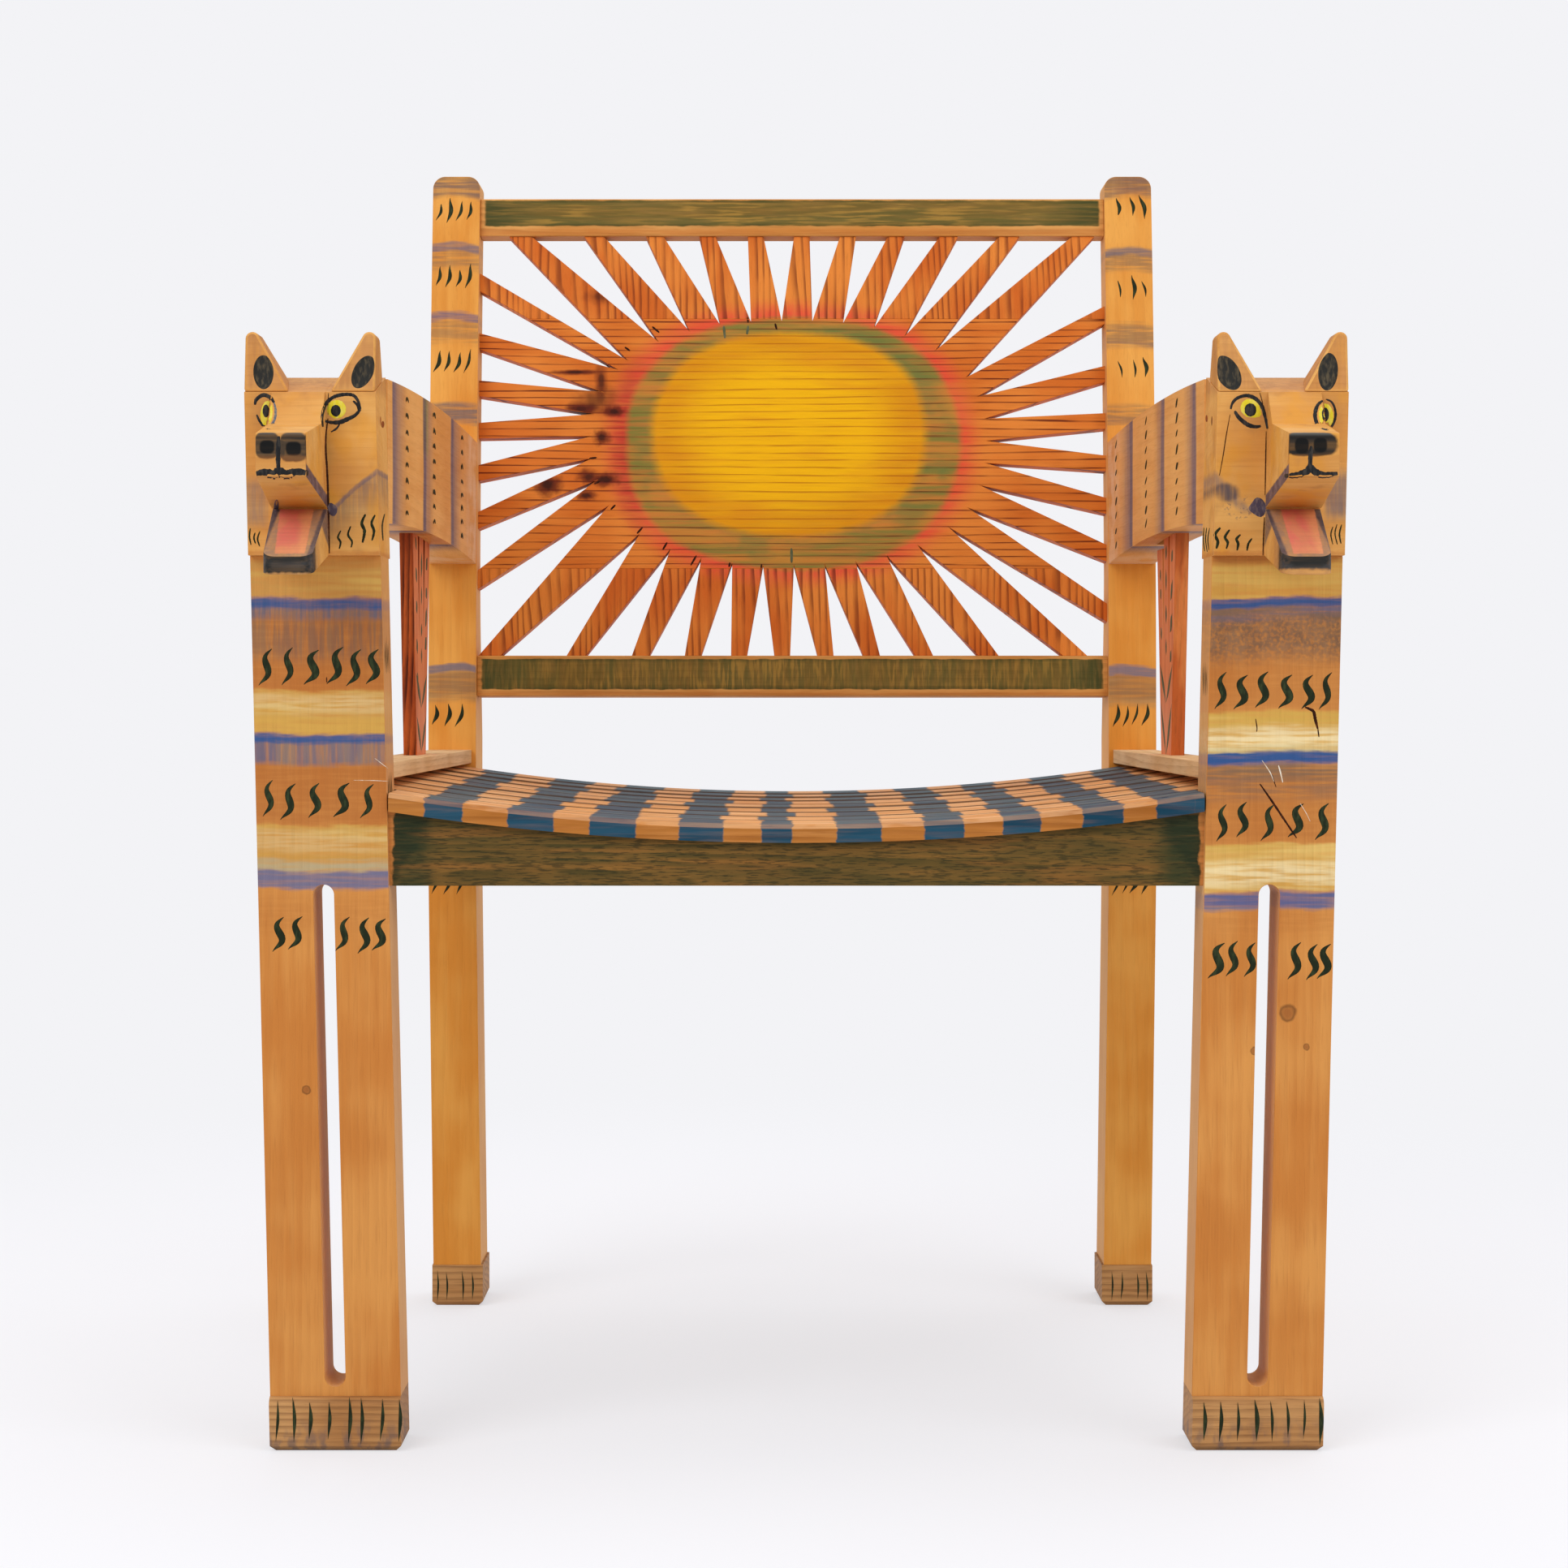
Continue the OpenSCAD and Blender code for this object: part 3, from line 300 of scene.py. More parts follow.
class Sketch(Graph):
    """A material's node graph, built from small expressions in millimetres."""

    def __init__(self, name: str, roughness: float = 0.55) -> None:
        """Starts a material with its shader and its coordinates.

        Args:
            name: Name of the material.
            roughness: Roughness of the shader where nothing else sets it.
        """
        self.material = bpy.data.materials.new(name)
        self.material.use_nodes = True
        super().__init__(self.material.node_tree)
        self.shader = self.add("ShaderNodeBsdfPrincipled", Roughness=roughness,
                               Specular_IOR_Level=0.14)
        self.add("ShaderNodeOutputMaterial", self.shader)
        source = self.add("ShaderNodeTexCoord").outputs["Object"]
        self.place = self.add("ShaderNodeMapping", source, Scale=(1 / MM, 1 / MM, 1 / MM),
                              Location=(0.0, MIDDLE_DEPTH, 0.0))
        split = self.add("ShaderNodeSeparateXYZ", self.place)
        self.x, self.depth, self.height = (Value(self, socket) for socket in split.outputs)

    def noise(self, size: float, stretch: Sequence[float] = EVEN, detail: float = 2.0,
              shift: float = 0.0) -> Value:
        """Adds smooth noise.

        Args:
            size: Size of its spots in millimetres.
            stretch: Factor on the coordinates along each axis; small makes long spots.
            detail: Levels of finer noise.
            shift: Moves the pattern, so that two noises differ.

        Returns:
            A number around a half.
        """
        place = self.add("ShaderNodeMapping", self.place,
                         Scale=tuple(part / size for part in stretch),
                         Location=(shift, shift * 0.7, shift * 1.3))
        return Value(self, self.add("ShaderNodeTexNoise", place, Scale=1.0,
                                    Detail=detail).outputs["Fac"])

    def sway(self, reach: float, size: float, stretch: Sequence[float] = EVEN,
             detail: float = 2.0, shift: float = 0.0) -> Value:
        """Gives smooth noise around 0 that spans about the given reach."""
        return (self.noise(size, stretch, detail, shift) - 0.5) * reach

    def mix(self, share: Value | float, first: object, second: object) -> bpy.types.NodeSocket:
        """Mixes two colours.

        Args:
            share: How much of the second.
            first: The colour below.
            second: The colour above.

        Returns:
            The mixed colour's socket.
        """
        node = self.add("ShaderNodeMix", share, data_type="RGBA")
        self.feed(node.inputs[6], first)
        self.feed(node.inputs[7], second)
        return node.outputs[2]

    def facing(self, axis: int) -> Value:
        """Gives the part of the surface's direction along axis 0, 1 or 2."""
        normal = self.add("ShaderNodeNewGeometry").outputs["Normal"]
        return Value(self, self.add("ShaderNodeSeparateXYZ", normal).outputs[axis])

    def front(self) -> Value:
        """Is 1 on faces that look forward."""
        return (self.facing(1) * -1.0).step(0.3, 0.8)

    def inside(self, side: Side) -> Value:
        """Is 1 on faces of one side's pieces that look to the chair's middle."""
        return (self.facing(0) * -float(side.value)).step(0.5, 0.9)

    def oval(self, middle: Point, half_width: float, half_height: float,
             square: float = 2.0) -> Value:
        """Measures how far out of an oval on a front face a place lies.

        Args:
            middle: X and height of the oval's middle.
            half_width: Half its width.
            half_height: Half its height.
            square: 2 for an ellipse, more for squarer ones.

        Returns:
            0 in the middle and 1 on the outline.
        """
        across = abs((self.x - middle[0]) / half_width) ** square
        upward = abs((self.height - middle[1]) / half_height) ** square
        return (across + upward) ** (1 / square)

    def finish(self, colour: object, height: Value, depth: float,
               roughness: Value | None = None) -> bpy.types.Material:
        """Connects the shader.

        Args:
            colour: The colour's socket or a colour.
            height: The bump's height between 0 and 1.
            depth: What 1 of the bump's height stands for, in millimetres.
            roughness: Roughness, where it varies.

        Returns:
            The finished material.
        """
        self.feed(self.shader.inputs["Base Color"], colour)
        if roughness is not None:
            self.feed(self.shader.inputs["Roughness"], roughness)
        bump = self.add("ShaderNodeBump", Distance=depth * MM, Height=height)
        self.feed(self.shader.inputs["Normal"], bump)
        return self.material


@dataclass
class Board:
    """The figured timber of a sketch: its colour so far, its rings and its flecks."""

    sketch: Sketch
    timber: Timber
    shift: float = 0.0
    colour: object = None
    rings: Value = field(init=False)
    flecks: Value = field(init=False)

    def __post_init__(self) -> None:
        """Draws the growth rings and the fibres."""
        sketch, timber = self.sketch, self.timber
        stretch = timber.grain.stretch
        x, depth, height = timber.grain.across
        across = sketch.x * x + sketch.depth * depth + sketch.height * height
        wave = sketch.sway(timber.ring_wave * 2, 45.0, stretch, 1.0, self.shift)
        ripple = sketch.sway(0.4, 6.0, stretch, 2.0, self.shift + 3)
        tooth = (across / timber.ring_gap + wave + ripple).math("FRACT")
        patch = sketch.noise(38.0, EVEN, 1.0, self.shift + 5).step(0.32, 0.62) * 0.6 + 0.4
        start = 1.0 - 2.2 / timber.ring_sharpness
        self.rings = tooth.step(start, 0.9) * tooth.step(1.0, 0.94) * patch
        fine = tuple(part * (1.0 if part == 1.0 else 0.6) for part in stretch)
        self.flecks = sketch.noise(1.1, fine, 3.0, self.shift + 7)
        tone = sketch.noise(80.0, EVEN, 2.0, self.shift + 11)
        streak = sketch.noise(9.0, stretch, 2.0, self.shift + 13)
        colour = sketch.mix((tone * 0.7 + streak * 0.3).step(0.36, 0.64), timber.pale, timber.deep)
        colour = sketch.mix(self.rings * timber.ring_depth, colour, timber.line)
        self.colour = sketch.mix(self.flecks.step(0.5, 0.75) * timber.fleck_depth, colour,
                                 timber.line)

    def tint(self, share: Value, colour: object) -> None:
        """Mixes a colour into the board's own."""
        self.colour = self.sketch.mix(share, self.colour, colour)

    def lay(self, mask: Value, colour: Colour, cover: float = 0.85, streaks: float = 0.35,
            brush: Grain = Grain.ACROSS, second: Colour | None = None) -> None:
        """Brushes thin paint over the board, so that the grain still shows.

        Args:
            mask: Where the paint is.
            colour: Its colour.
            cover: How much it hides.
            streaks: How uneven the brush leaves it.
            brush: The direction of the brush.
            second: A colour that it turns to here and there.
        """
        sketch = self.sketch
        streak = sketch.noise(2.6, brush.stretch, 3.0, self.shift + 17)
        thin = streak.step(0.3, 0.6) * streaks + (1.0 - streaks)
        shade = tuple(part * 0.5 for part in colour)
        if second:
            turn = sketch.noise(11.0, brush.stretch, 3.0, self.shift + 19).step(0.4, 0.6)
            colour = sketch.mix(turn, colour, second)
        tinted = sketch.mix(self.rings * 0.12 + self.flecks.step(0.45, 0.7) * 0.08, colour, shade)
        self.tint(mask * thin * cover, tinted)

    def knot(self, x: float, height: float, radius: float) -> None:
        """Draws a knot with a dark ring and a brown heart.

        Args:
            x: Its distance from the chair's middle.
            height: Its height above the floor.
            radius: Its radius.
        """
        sketch = self.sketch
        aside = sketch.x - x
        above = sketch.height - height
        wobble = sketch.sway(radius * 0.5, radius, EVEN, 1.0, x)
        way = (aside * aside + above * above * 0.8) ** 0.5 + wobble
        heart = way.step(radius * 1.15, radius * 0.4) * 0.75
        ring = way.between(radius * 0.75, radius * 1.05, radius * 0.2)
        self.tint(heart, self.timber.line)
        self.tint(ring * 0.6, paint(58, 30, 18))

    def smudge(self, middle: Point, half_width: float, half_height: float, colour: Colour,
               cover: float = 0.7, mask: Value | float = 1.0, soft: float = 0.5) -> None:
        """Rubs a soft uneven spot into a front face.

        Args:
            middle: X and height of the spot's middle.
            half_width: Half its width.
            half_height: Half its height.
            colour: Its colour.
            cover: How much it hides.
            mask: Where it may be.
            soft: How gently it fades at its edge.
        """
        sketch = self.sketch
        rough = sketch.sway(1.1, max(half_width, half_height) * 0.7, EVEN, 3.0, sum(middle))
        way = sketch.oval(middle, half_width, half_height) + rough
        self.tint(way.step(1.0 + soft, 1.0 - soft) * mask * cover, colour)

    def done(self, depth: float = 0.12) -> bpy.types.Material:
        """Finishes the material with the grain's relief.

        Args:
            depth: Height of the relief in millimetres.

        Returns:
            The material.
        """
        relief = self.flecks * -0.6 + self.rings * -0.5 + 1.0
        rough = self.flecks * 0.25 + (self.timber.roughness - 0.1)
        return self.sketch.finish(self.colour, relief, depth, rough)


def bands_on(board: Board, bands: Sequence[Band], arch: float = 2.0, side_share: float = 0.3,
             crown: float = 0.0, middle: float = 277.0) -> None:
    """Paints bands across a post, wavy at their edges and fainter on its paler sides, whose
    paleness is partly bare wood and partly painted light.

    Args:
        board: The post's board.
        bands: The bands from the lowest layer to the highest.
        arch: How far the bands wave, in millimetres.
        side_share: How strong they are on faces that don't look forward.
        crown: How much they rise towards the post's middle, per square millimetre.
        middle: Distance of the post's middle from the chair's.
    """
    sketch = board.sketch
    waves = sketch.sway(arch * 4, 42.0, (1.0, 0.4, 0.12), 1.0, board.shift + 23)
    ragged = sketch.sway(4.0, 2.4, (0.2, 0.5, 1.0), 3.0, board.shift + 29)
    aside = abs(sketch.x) - middle
    height = sketch.height + waves + ragged + aside * aside * crown
    front = sketch.front()
    # Faces that don't look forward are tinted paler: partly the bare sides' own tone, partly
    # painted light on sides that the lamps leave darker.
    board.tint(front.inverse() * 0.4, paint(242, 188, 122))
    share = front * (1 - side_share) + side_share
    for band in bands:
        board.lay(height.between(band.low, band.high, band.softness) * share, band.colour,
                  band.strength, band.streaks, band.brush, band.second)


def timber_material(name: str, timber: Timber, shift: float = 0.0) -> bpy.types.Material:
    """Makes the material of a bare board, with its figure moved so that two boards differ."""
    return Board(Sketch(name, timber.roughness), timber, shift).done()


def plain_paint(name: str, colour: Colour, other: Colour, roughness: float) -> bpy.types.Material:
    """Makes brushed paint that varies a little.

    Args:
        name: Name of the material.
        colour: The main colour.
        other: The colour of its streaks and worn spots.
        roughness: Roughness of the paint.

    Returns:
        The material.
    """
    sketch = Sketch(name, roughness)
    spots = sketch.noise(2.2, (1.0, 1.0, 0.35), 3.0, 5.0)
    return sketch.finish(sketch.mix(spots.step(0.42, 0.72), colour, other), spots, 0.1)


def link(piece: bpy.types.Object) -> bpy.types.Object:
    """Puts an object in the scene and returns it."""
    bpy.context.scene.collection.objects.link(piece)
    return piece


def bake(piece: bpy.types.Object) -> bpy.types.Object:
    """Turns an object with modifiers into a plain mesh.

    Args:
        piece: The object, already in the scene.

    Returns:
        The same object with its final mesh and no modifiers.
    """
    bpy.context.view_layer.update()
    final = bpy.data.meshes.new_from_object(
        piece.evaluated_get(bpy.context.evaluated_depsgraph_get()))
    final.name = piece.name
    piece.modifiers.clear()
    piece.data = final
    return piece


def hand_over(piece: bpy.types.Object, slot: str, nodes: Sequence[str] = ()) -> bpy.types.Object:
    """Makes a finished piece part of the chair.

    Args:
        piece: The finished piece.
        slot: The record's material slot that it belongs to; not used.
        nodes: The CAD nodes that it stands for.

    Returns:
        The piece.
    """
    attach(piece, "root")
    if nodes:
        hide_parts(*nodes)
    LOG.info("%s: %d faces", piece.name, len(piece.data.polygons))
    return piece


def worn_copy(node: str, slot: str, arris: float, main: bpy.types.Material,
              edge: bpy.types.Material | None = None,
              cutters: Sequence[bpy.types.Object] = ()) -> bpy.types.Object:
    """Replaces a CAD node by a copy with rounded, worn arrises.

    Args:
        node: Name of the CAD node.
        slot: The record's material slot.
        arris: Width of the rounding in millimetres.
        main: Material of the faces.
        edge: Material of the rounded arrises, if it is another.
        cutters: Closed shapes that are carved out last, with the material of the hollow.

    Returns:
        The finished piece.
    """
    work = bmesh.new()
    work.from_mesh(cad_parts[node].data)
    bmesh.ops.remove_doubles(work, verts=work.verts, dist=2e-5)
    bmesh.ops.dissolve_limit(work, angle_limit=math.radians(0.05), verts=work.verts,
                             edges=work.edges)
    for face in work.faces:
        face.smooth = True
        face.material_index = 0
    mesh = bpy.data.meshes.new(node + "_worn")
    work.to_mesh(mesh)
    work.free()
    mesh.materials.append(main)
    mesh.materials.append(edge or main)
    piece = link(bpy.data.objects.new(node + "_worn", mesh))
    bevel = piece.modifiers.new("arrises", "BEVEL")
    bevel.width = arris * MM
    bevel.segments = 2
    bevel.limit_method = "ANGLE"
    bevel.angle_limit = math.radians(28)
    bevel.material = 1
    for cutter in cutters:
        carve = piece.modifiers.new("carve", "BOOLEAN")
        carve.object = cutter
        carve.solver = "EXACT"
        carve.material_mode = "TRANSFER"
    piece.modifiers.new("flat_faces", "WEIGHTED_NORMAL")
    bake(piece)
    for cutter in cutters:
        bpy.data.objects.remove(cutter)
    return hand_over(piece, slot, [node])


class ShapeTree(Graph):
    """A Geometry Nodes tree with named inputs."""

    def __init__(self, name: str) -> None:
        """Starts the tree with its geometry sockets.

        Args:
            name: Name of the tree.
        """
        super().__init__(bpy.data.node_groups.new(name, "GeometryNodeTree"))
        for way in ("OUTPUT", "INPUT"):
            self.tree.interface.new_socket("Geometry", in_out=way,
                                           socket_type="NodeSocketGeometry")
        self.source = self.add("NodeGroupInput")
        self.sink = self.add("NodeGroupOutput")

    def numbers(self, **usual: float) -> list[Value]:
        """Adds named numbers to the tree's inputs.

        Args:
            **usual: Their usual values by name, with underscores for spaces.

        Returns:
            The numbers inside the tree.
        """
        values = []
        for key, value in usual.items():
            name = key.replace("_", " ")
            item = self.tree.interface.new_socket(name, in_out="INPUT",
                                                  socket_type="NodeSocketFloat")
            item.default_value = value
            values.append(Value(self, self.source.outputs[name]))
        return values

    def end(self, geometry: bpy.types.Node) -> bpy.types.NodeTree:
        """Closes the tree with Realize Instances and Set Material.

        Args:
            geometry: The node that ends the shape.

        Returns:
            The finished tree.
        """
        self.tree.interface.new_socket("Material", in_out="INPUT",
                                       socket_type="NodeSocketMaterial")
        real = self.add("GeometryNodeRealizeInstances", Geometry=geometry)
        done = self.add("GeometryNodeSetMaterial", Geometry=real,
                        Material=self.source.outputs["Material"])
        self.feed(self.sink.inputs[0], done)
        return self.tree


def apply_tree(piece: bpy.types.Object, tree: bpy.types.NodeTree,
               values: dict[str, object]) -> bpy.types.Object:
    """Runs a Geometry Nodes tree on an object and keeps the plain result.

    Args:
        piece: The object, already in the scene.
        tree: The tree.
        values: The tree's inputs by name.

    Returns:
        The object with its final mesh.
    """
    modifier = piece.modifiers.new(tree.name, "NODES")
    modifier.node_group = tree
    keys = {item.name: item.identifier for item in tree.interface.items_tree
            if item.in_out == "INPUT"}
    for name, value in values.items():
        modifier[keys[name]] = value
    return bake(piece)


def stroke_tree() -> bpy.types.NodeTree:
    """Builds the tree that sets one brush stroke on each point.

    Returns:
        The tree, with the stroke's length, width, curl, swings and lift as inputs.
    """
    net = ShapeTree("brush_marks")
    length, width, curl, turns, lift = net.numbers(Length=20.0, Width=3.0, Curl=2.0, Turns=1.25,
                                                   Lift=0.3)
    line = net.add("GeometryNodeCurvePrimitiveLine", Start=(0.0, -0.5, 0.0), End=(0.0, 0.5, 0.0))
    path = net.add("GeometryNodeResampleCurve", Curve=line, Count=19)
    along = Value(net, net.add("GeometryNodeSplineParameter").outputs["Factor"])
    first_swing, blunt, taper = 0.1875, 0.04, 1.4
    swing = ((along * turns - first_swing) * math.tau).math("SINE")
    spot = net.add("ShaderNodeCombineXYZ", swing * curl * MM, (along - 0.5) * (length * MM))
    bent = net.add("GeometryNodeSetPosition", Geometry=path, Position=spot)
    phase = along * (math.pi * 0.93) + math.pi * 0.03
    size = phase.math("SINE") ** taper * (1.0 - blunt) + blunt
    upright = net.add("GeometryNodeSetCurveNormal", Curve=bent, mode="Z_UP")
    ring = net.add("GeometryNodeCurvePrimitiveCircle", Resolution=8, Radius=1.0)
    flat = net.add("ShaderNodeCombineXYZ", width * (MM / 2), lift * MM, 1.0)
    profile = net.add("GeometryNodeTransform", Geometry=ring, Scale=flat)
    stroke = net.add("GeometryNodeCurveToMesh", Curve=upright, Profile_Curve=profile, Scale=size,
                     Fill_Caps=True)
    turn = net.add("GeometryNodeInputNamedAttribute", data_type="FLOAT_VECTOR", Name="turn")
    scale = net.add("GeometryNodeInputNamedAttribute", data_type="FLOAT_VECTOR", Name="size")
    marks = net.add("GeometryNodeInstanceOnPoints", Points=net.source, Instance=stroke,
                    Rotation=net.add("FunctionNodeEulerToRotation", Euler=turn), Scale=scale)
    return net.end(marks)


def slat_tree() -> bpy.types.NodeTree:
    """Builds the tree of a seat slat: a rounded board bent to the hollow of the seat.

    Returns:
        The tree, with the slat's sizes and place as inputs.
    """
    net = ShapeTree("hollow_slat")
    half, width, thick, arris, depth, top, tilt, radius = net.numbers(
        Half_Length=300.0, Width=48.0, Thickness=12.0, Arris=1.2, Depth=0.0, Top_Height=410.0,
        Tilt=0.0, Hollow_Radius=1750.0)
    outline = net.add("GeometryNodeCurvePrimitiveQuadrilateral", Width=width * MM,
                      Height=thick * MM)
    rounded = net.add("GeometryNodeFilletCurve", Curve=outline, Radius=arris * MM)
    line = net.add("GeometryNodeCurvePrimitiveLine",
                   Start=net.add("ShaderNodeCombineXYZ", half * -MM),
                   End=net.add("ShaderNodeCombineXYZ", half * MM))
    path = net.add("GeometryNodeResampleCurve", Curve=line, Count=49)
    flat = net.add("GeometryNodeSetCurveNormal", Curve=path, mode="Z_UP")
    body = net.add("GeometryNodeCurveToMesh", Curve=flat, Profile_Curve=rounded, Fill_Caps=True)
    split = net.add("ShaderNodeSeparateXYZ", net.add("GeometryNodeInputPosition"))
    x, y, z = (Value(net, socket) for socket in split.outputs)
    reach = radius * MM
    dip = reach - (reach * reach - x * x).math("SQRT")
    lean = y * tilt.math("TANGENT")
    height = z + dip + (lean + (top - thick * 0.5) * MM)
    spot = net.add("ShaderNodeCombineXYZ", x, y + (depth - MIDDLE_DEPTH) * MM, height)
    return net.end(net.add("GeometryNodeSetPosition", Geometry=body, Position=spot))


@dataclass(frozen=True)
class Mark:
    """One brush mark: its middle, its turn and its size."""

    spot: Vector
    turn: tuple[float, float, float]
    length: float = 1.0
    width: float = 1.0


@dataclass(frozen=True)
class Brush:
    """The shape of one kind of mark: its size, its swings to each side and how proud it is."""

    length: float
    width: float
    curl: float
    turns: float = 1.25
    lift: float = 0.25


@dataclass
class MarkSet:
    """Brush marks of one kind, set by one tree."""

    tree: bpy.types.NodeTree
    material: bpy.types.Material

    def put(self, name: str, slot: str, marks: Sequence[Mark], brush: Brush) -> bpy.types.Object:
        """Makes one piece of a list of marks.

        Args:
            name: Name of the piece.
            slot: The record's material slot.
            marks: Where the marks stand.
            brush: Their shape.

        Returns:
            The finished piece.
        """
        mesh = bpy.data.meshes.new(name)
        mesh.from_pydata([mark.spot for mark in marks], [], [])
        turn = mesh.attributes.new("turn", "FLOAT_VECTOR", "POINT")
        size = mesh.attributes.new("size", "FLOAT_VECTOR", "POINT")
        for index, mark in enumerate(marks):
            turn.data[index].vector = mark.turn
            size.data[index].vector = (mark.width, mark.length, 1.0)
        piece = link(bpy.data.objects.new(name, mesh))
        apply_tree(piece, self.tree, {
            "Length": brush.length, "Width": brush.width, "Curl": brush.curl,
            "Turns": brush.turns, "Lift": brush.lift, "Material": self.material})
        return hand_over(piece, slot)


FRONT = (math.pi / 2, 0.0, 0.0)
INWARD = {side: (math.pi / 2, 0.0, -side.value * math.pi / 2) for side in Side}


def leaning(turn: Sequence[float], angle: float) -> tuple[float, float, float]:
    """Turns a mark in its own plane.

    Args:
        turn: The turn that stands it on its face.
        angle: The angle in its plane, in degrees, positive to the left.

    Returns:
        The turn with that angle.
    """
    stand = Matrix.Rotation(turn[2], 3, "Z") @ Matrix.Rotation(turn[0], 3, "X")
    euler = (stand @ Matrix.Rotation(math.radians(angle), 3, "Z")).to_euler()
    return (euler.x, euler.y, euler.z)


class Paint(Enum):
    """What hand-drawn lines and spots are made of: two colours and a roughness."""

    INK = (INK, paint(50, 60, 34), 0.6)
    NIGHT = (paint(28, 28, 30), paint(60, 56, 52), 0.55)
    GREY = (paint(92, 98, 112), paint(150, 136, 110), 0.65)
    PLUM = (paint(78, 66, 80), paint(124, 104, 100), 0.6)
    YELLOW = (paint(220, 200, 40), paint(226, 210, 96), 0.5)
    CRACK = (paint(44, 20, 10), paint(80, 40, 20), 0.9)
    CHALK = (paint(232, 220, 204), paint(214, 180, 140), 0.7)
    RUST = (paint(150, 74, 30), paint(110, 50, 22), 0.7)
    LEAF = (paint(84, 90, 62), paint(112, 108, 80), 0.65)

    @property
    def word(self) -> str:
        """The paint's word in the names of pieces."""
        return self.name.lower()


@dataclass(frozen=True)
class Stroke:
    """A line as seen from the front: its paint, its width and its points in an upright plane."""

    paint: Paint
    width: float
    points: tuple[Point, ...]
    plane: float = -8.0


def lines(brush: Paint, plane: float, *rows: tuple[float, ...]) -> tuple[Stroke, ...]:
    """Makes strokes of one paint in one plane.

    Args:
        brush: The paint.
        plane: The plane's depth.
        *rows: For each stroke its width, and then X and height of each point in turn.

    Returns:
        The strokes.
    """
    return tuple(Stroke(brush, row[0], tuple(zip(row[1::2], row[2::2])), plane) for row in rows)


@dataclass(frozen=True)
class Spot:
    """A painted oval as seen from the front: its paint, middle, half sizes and tilt."""

    paint: Paint
    middle: Point
    half_width: float
    half_height: float
    tilt: float = 0.0
    point: float = 0.0
    lift: float = 0.0
    plane: float = -8.0


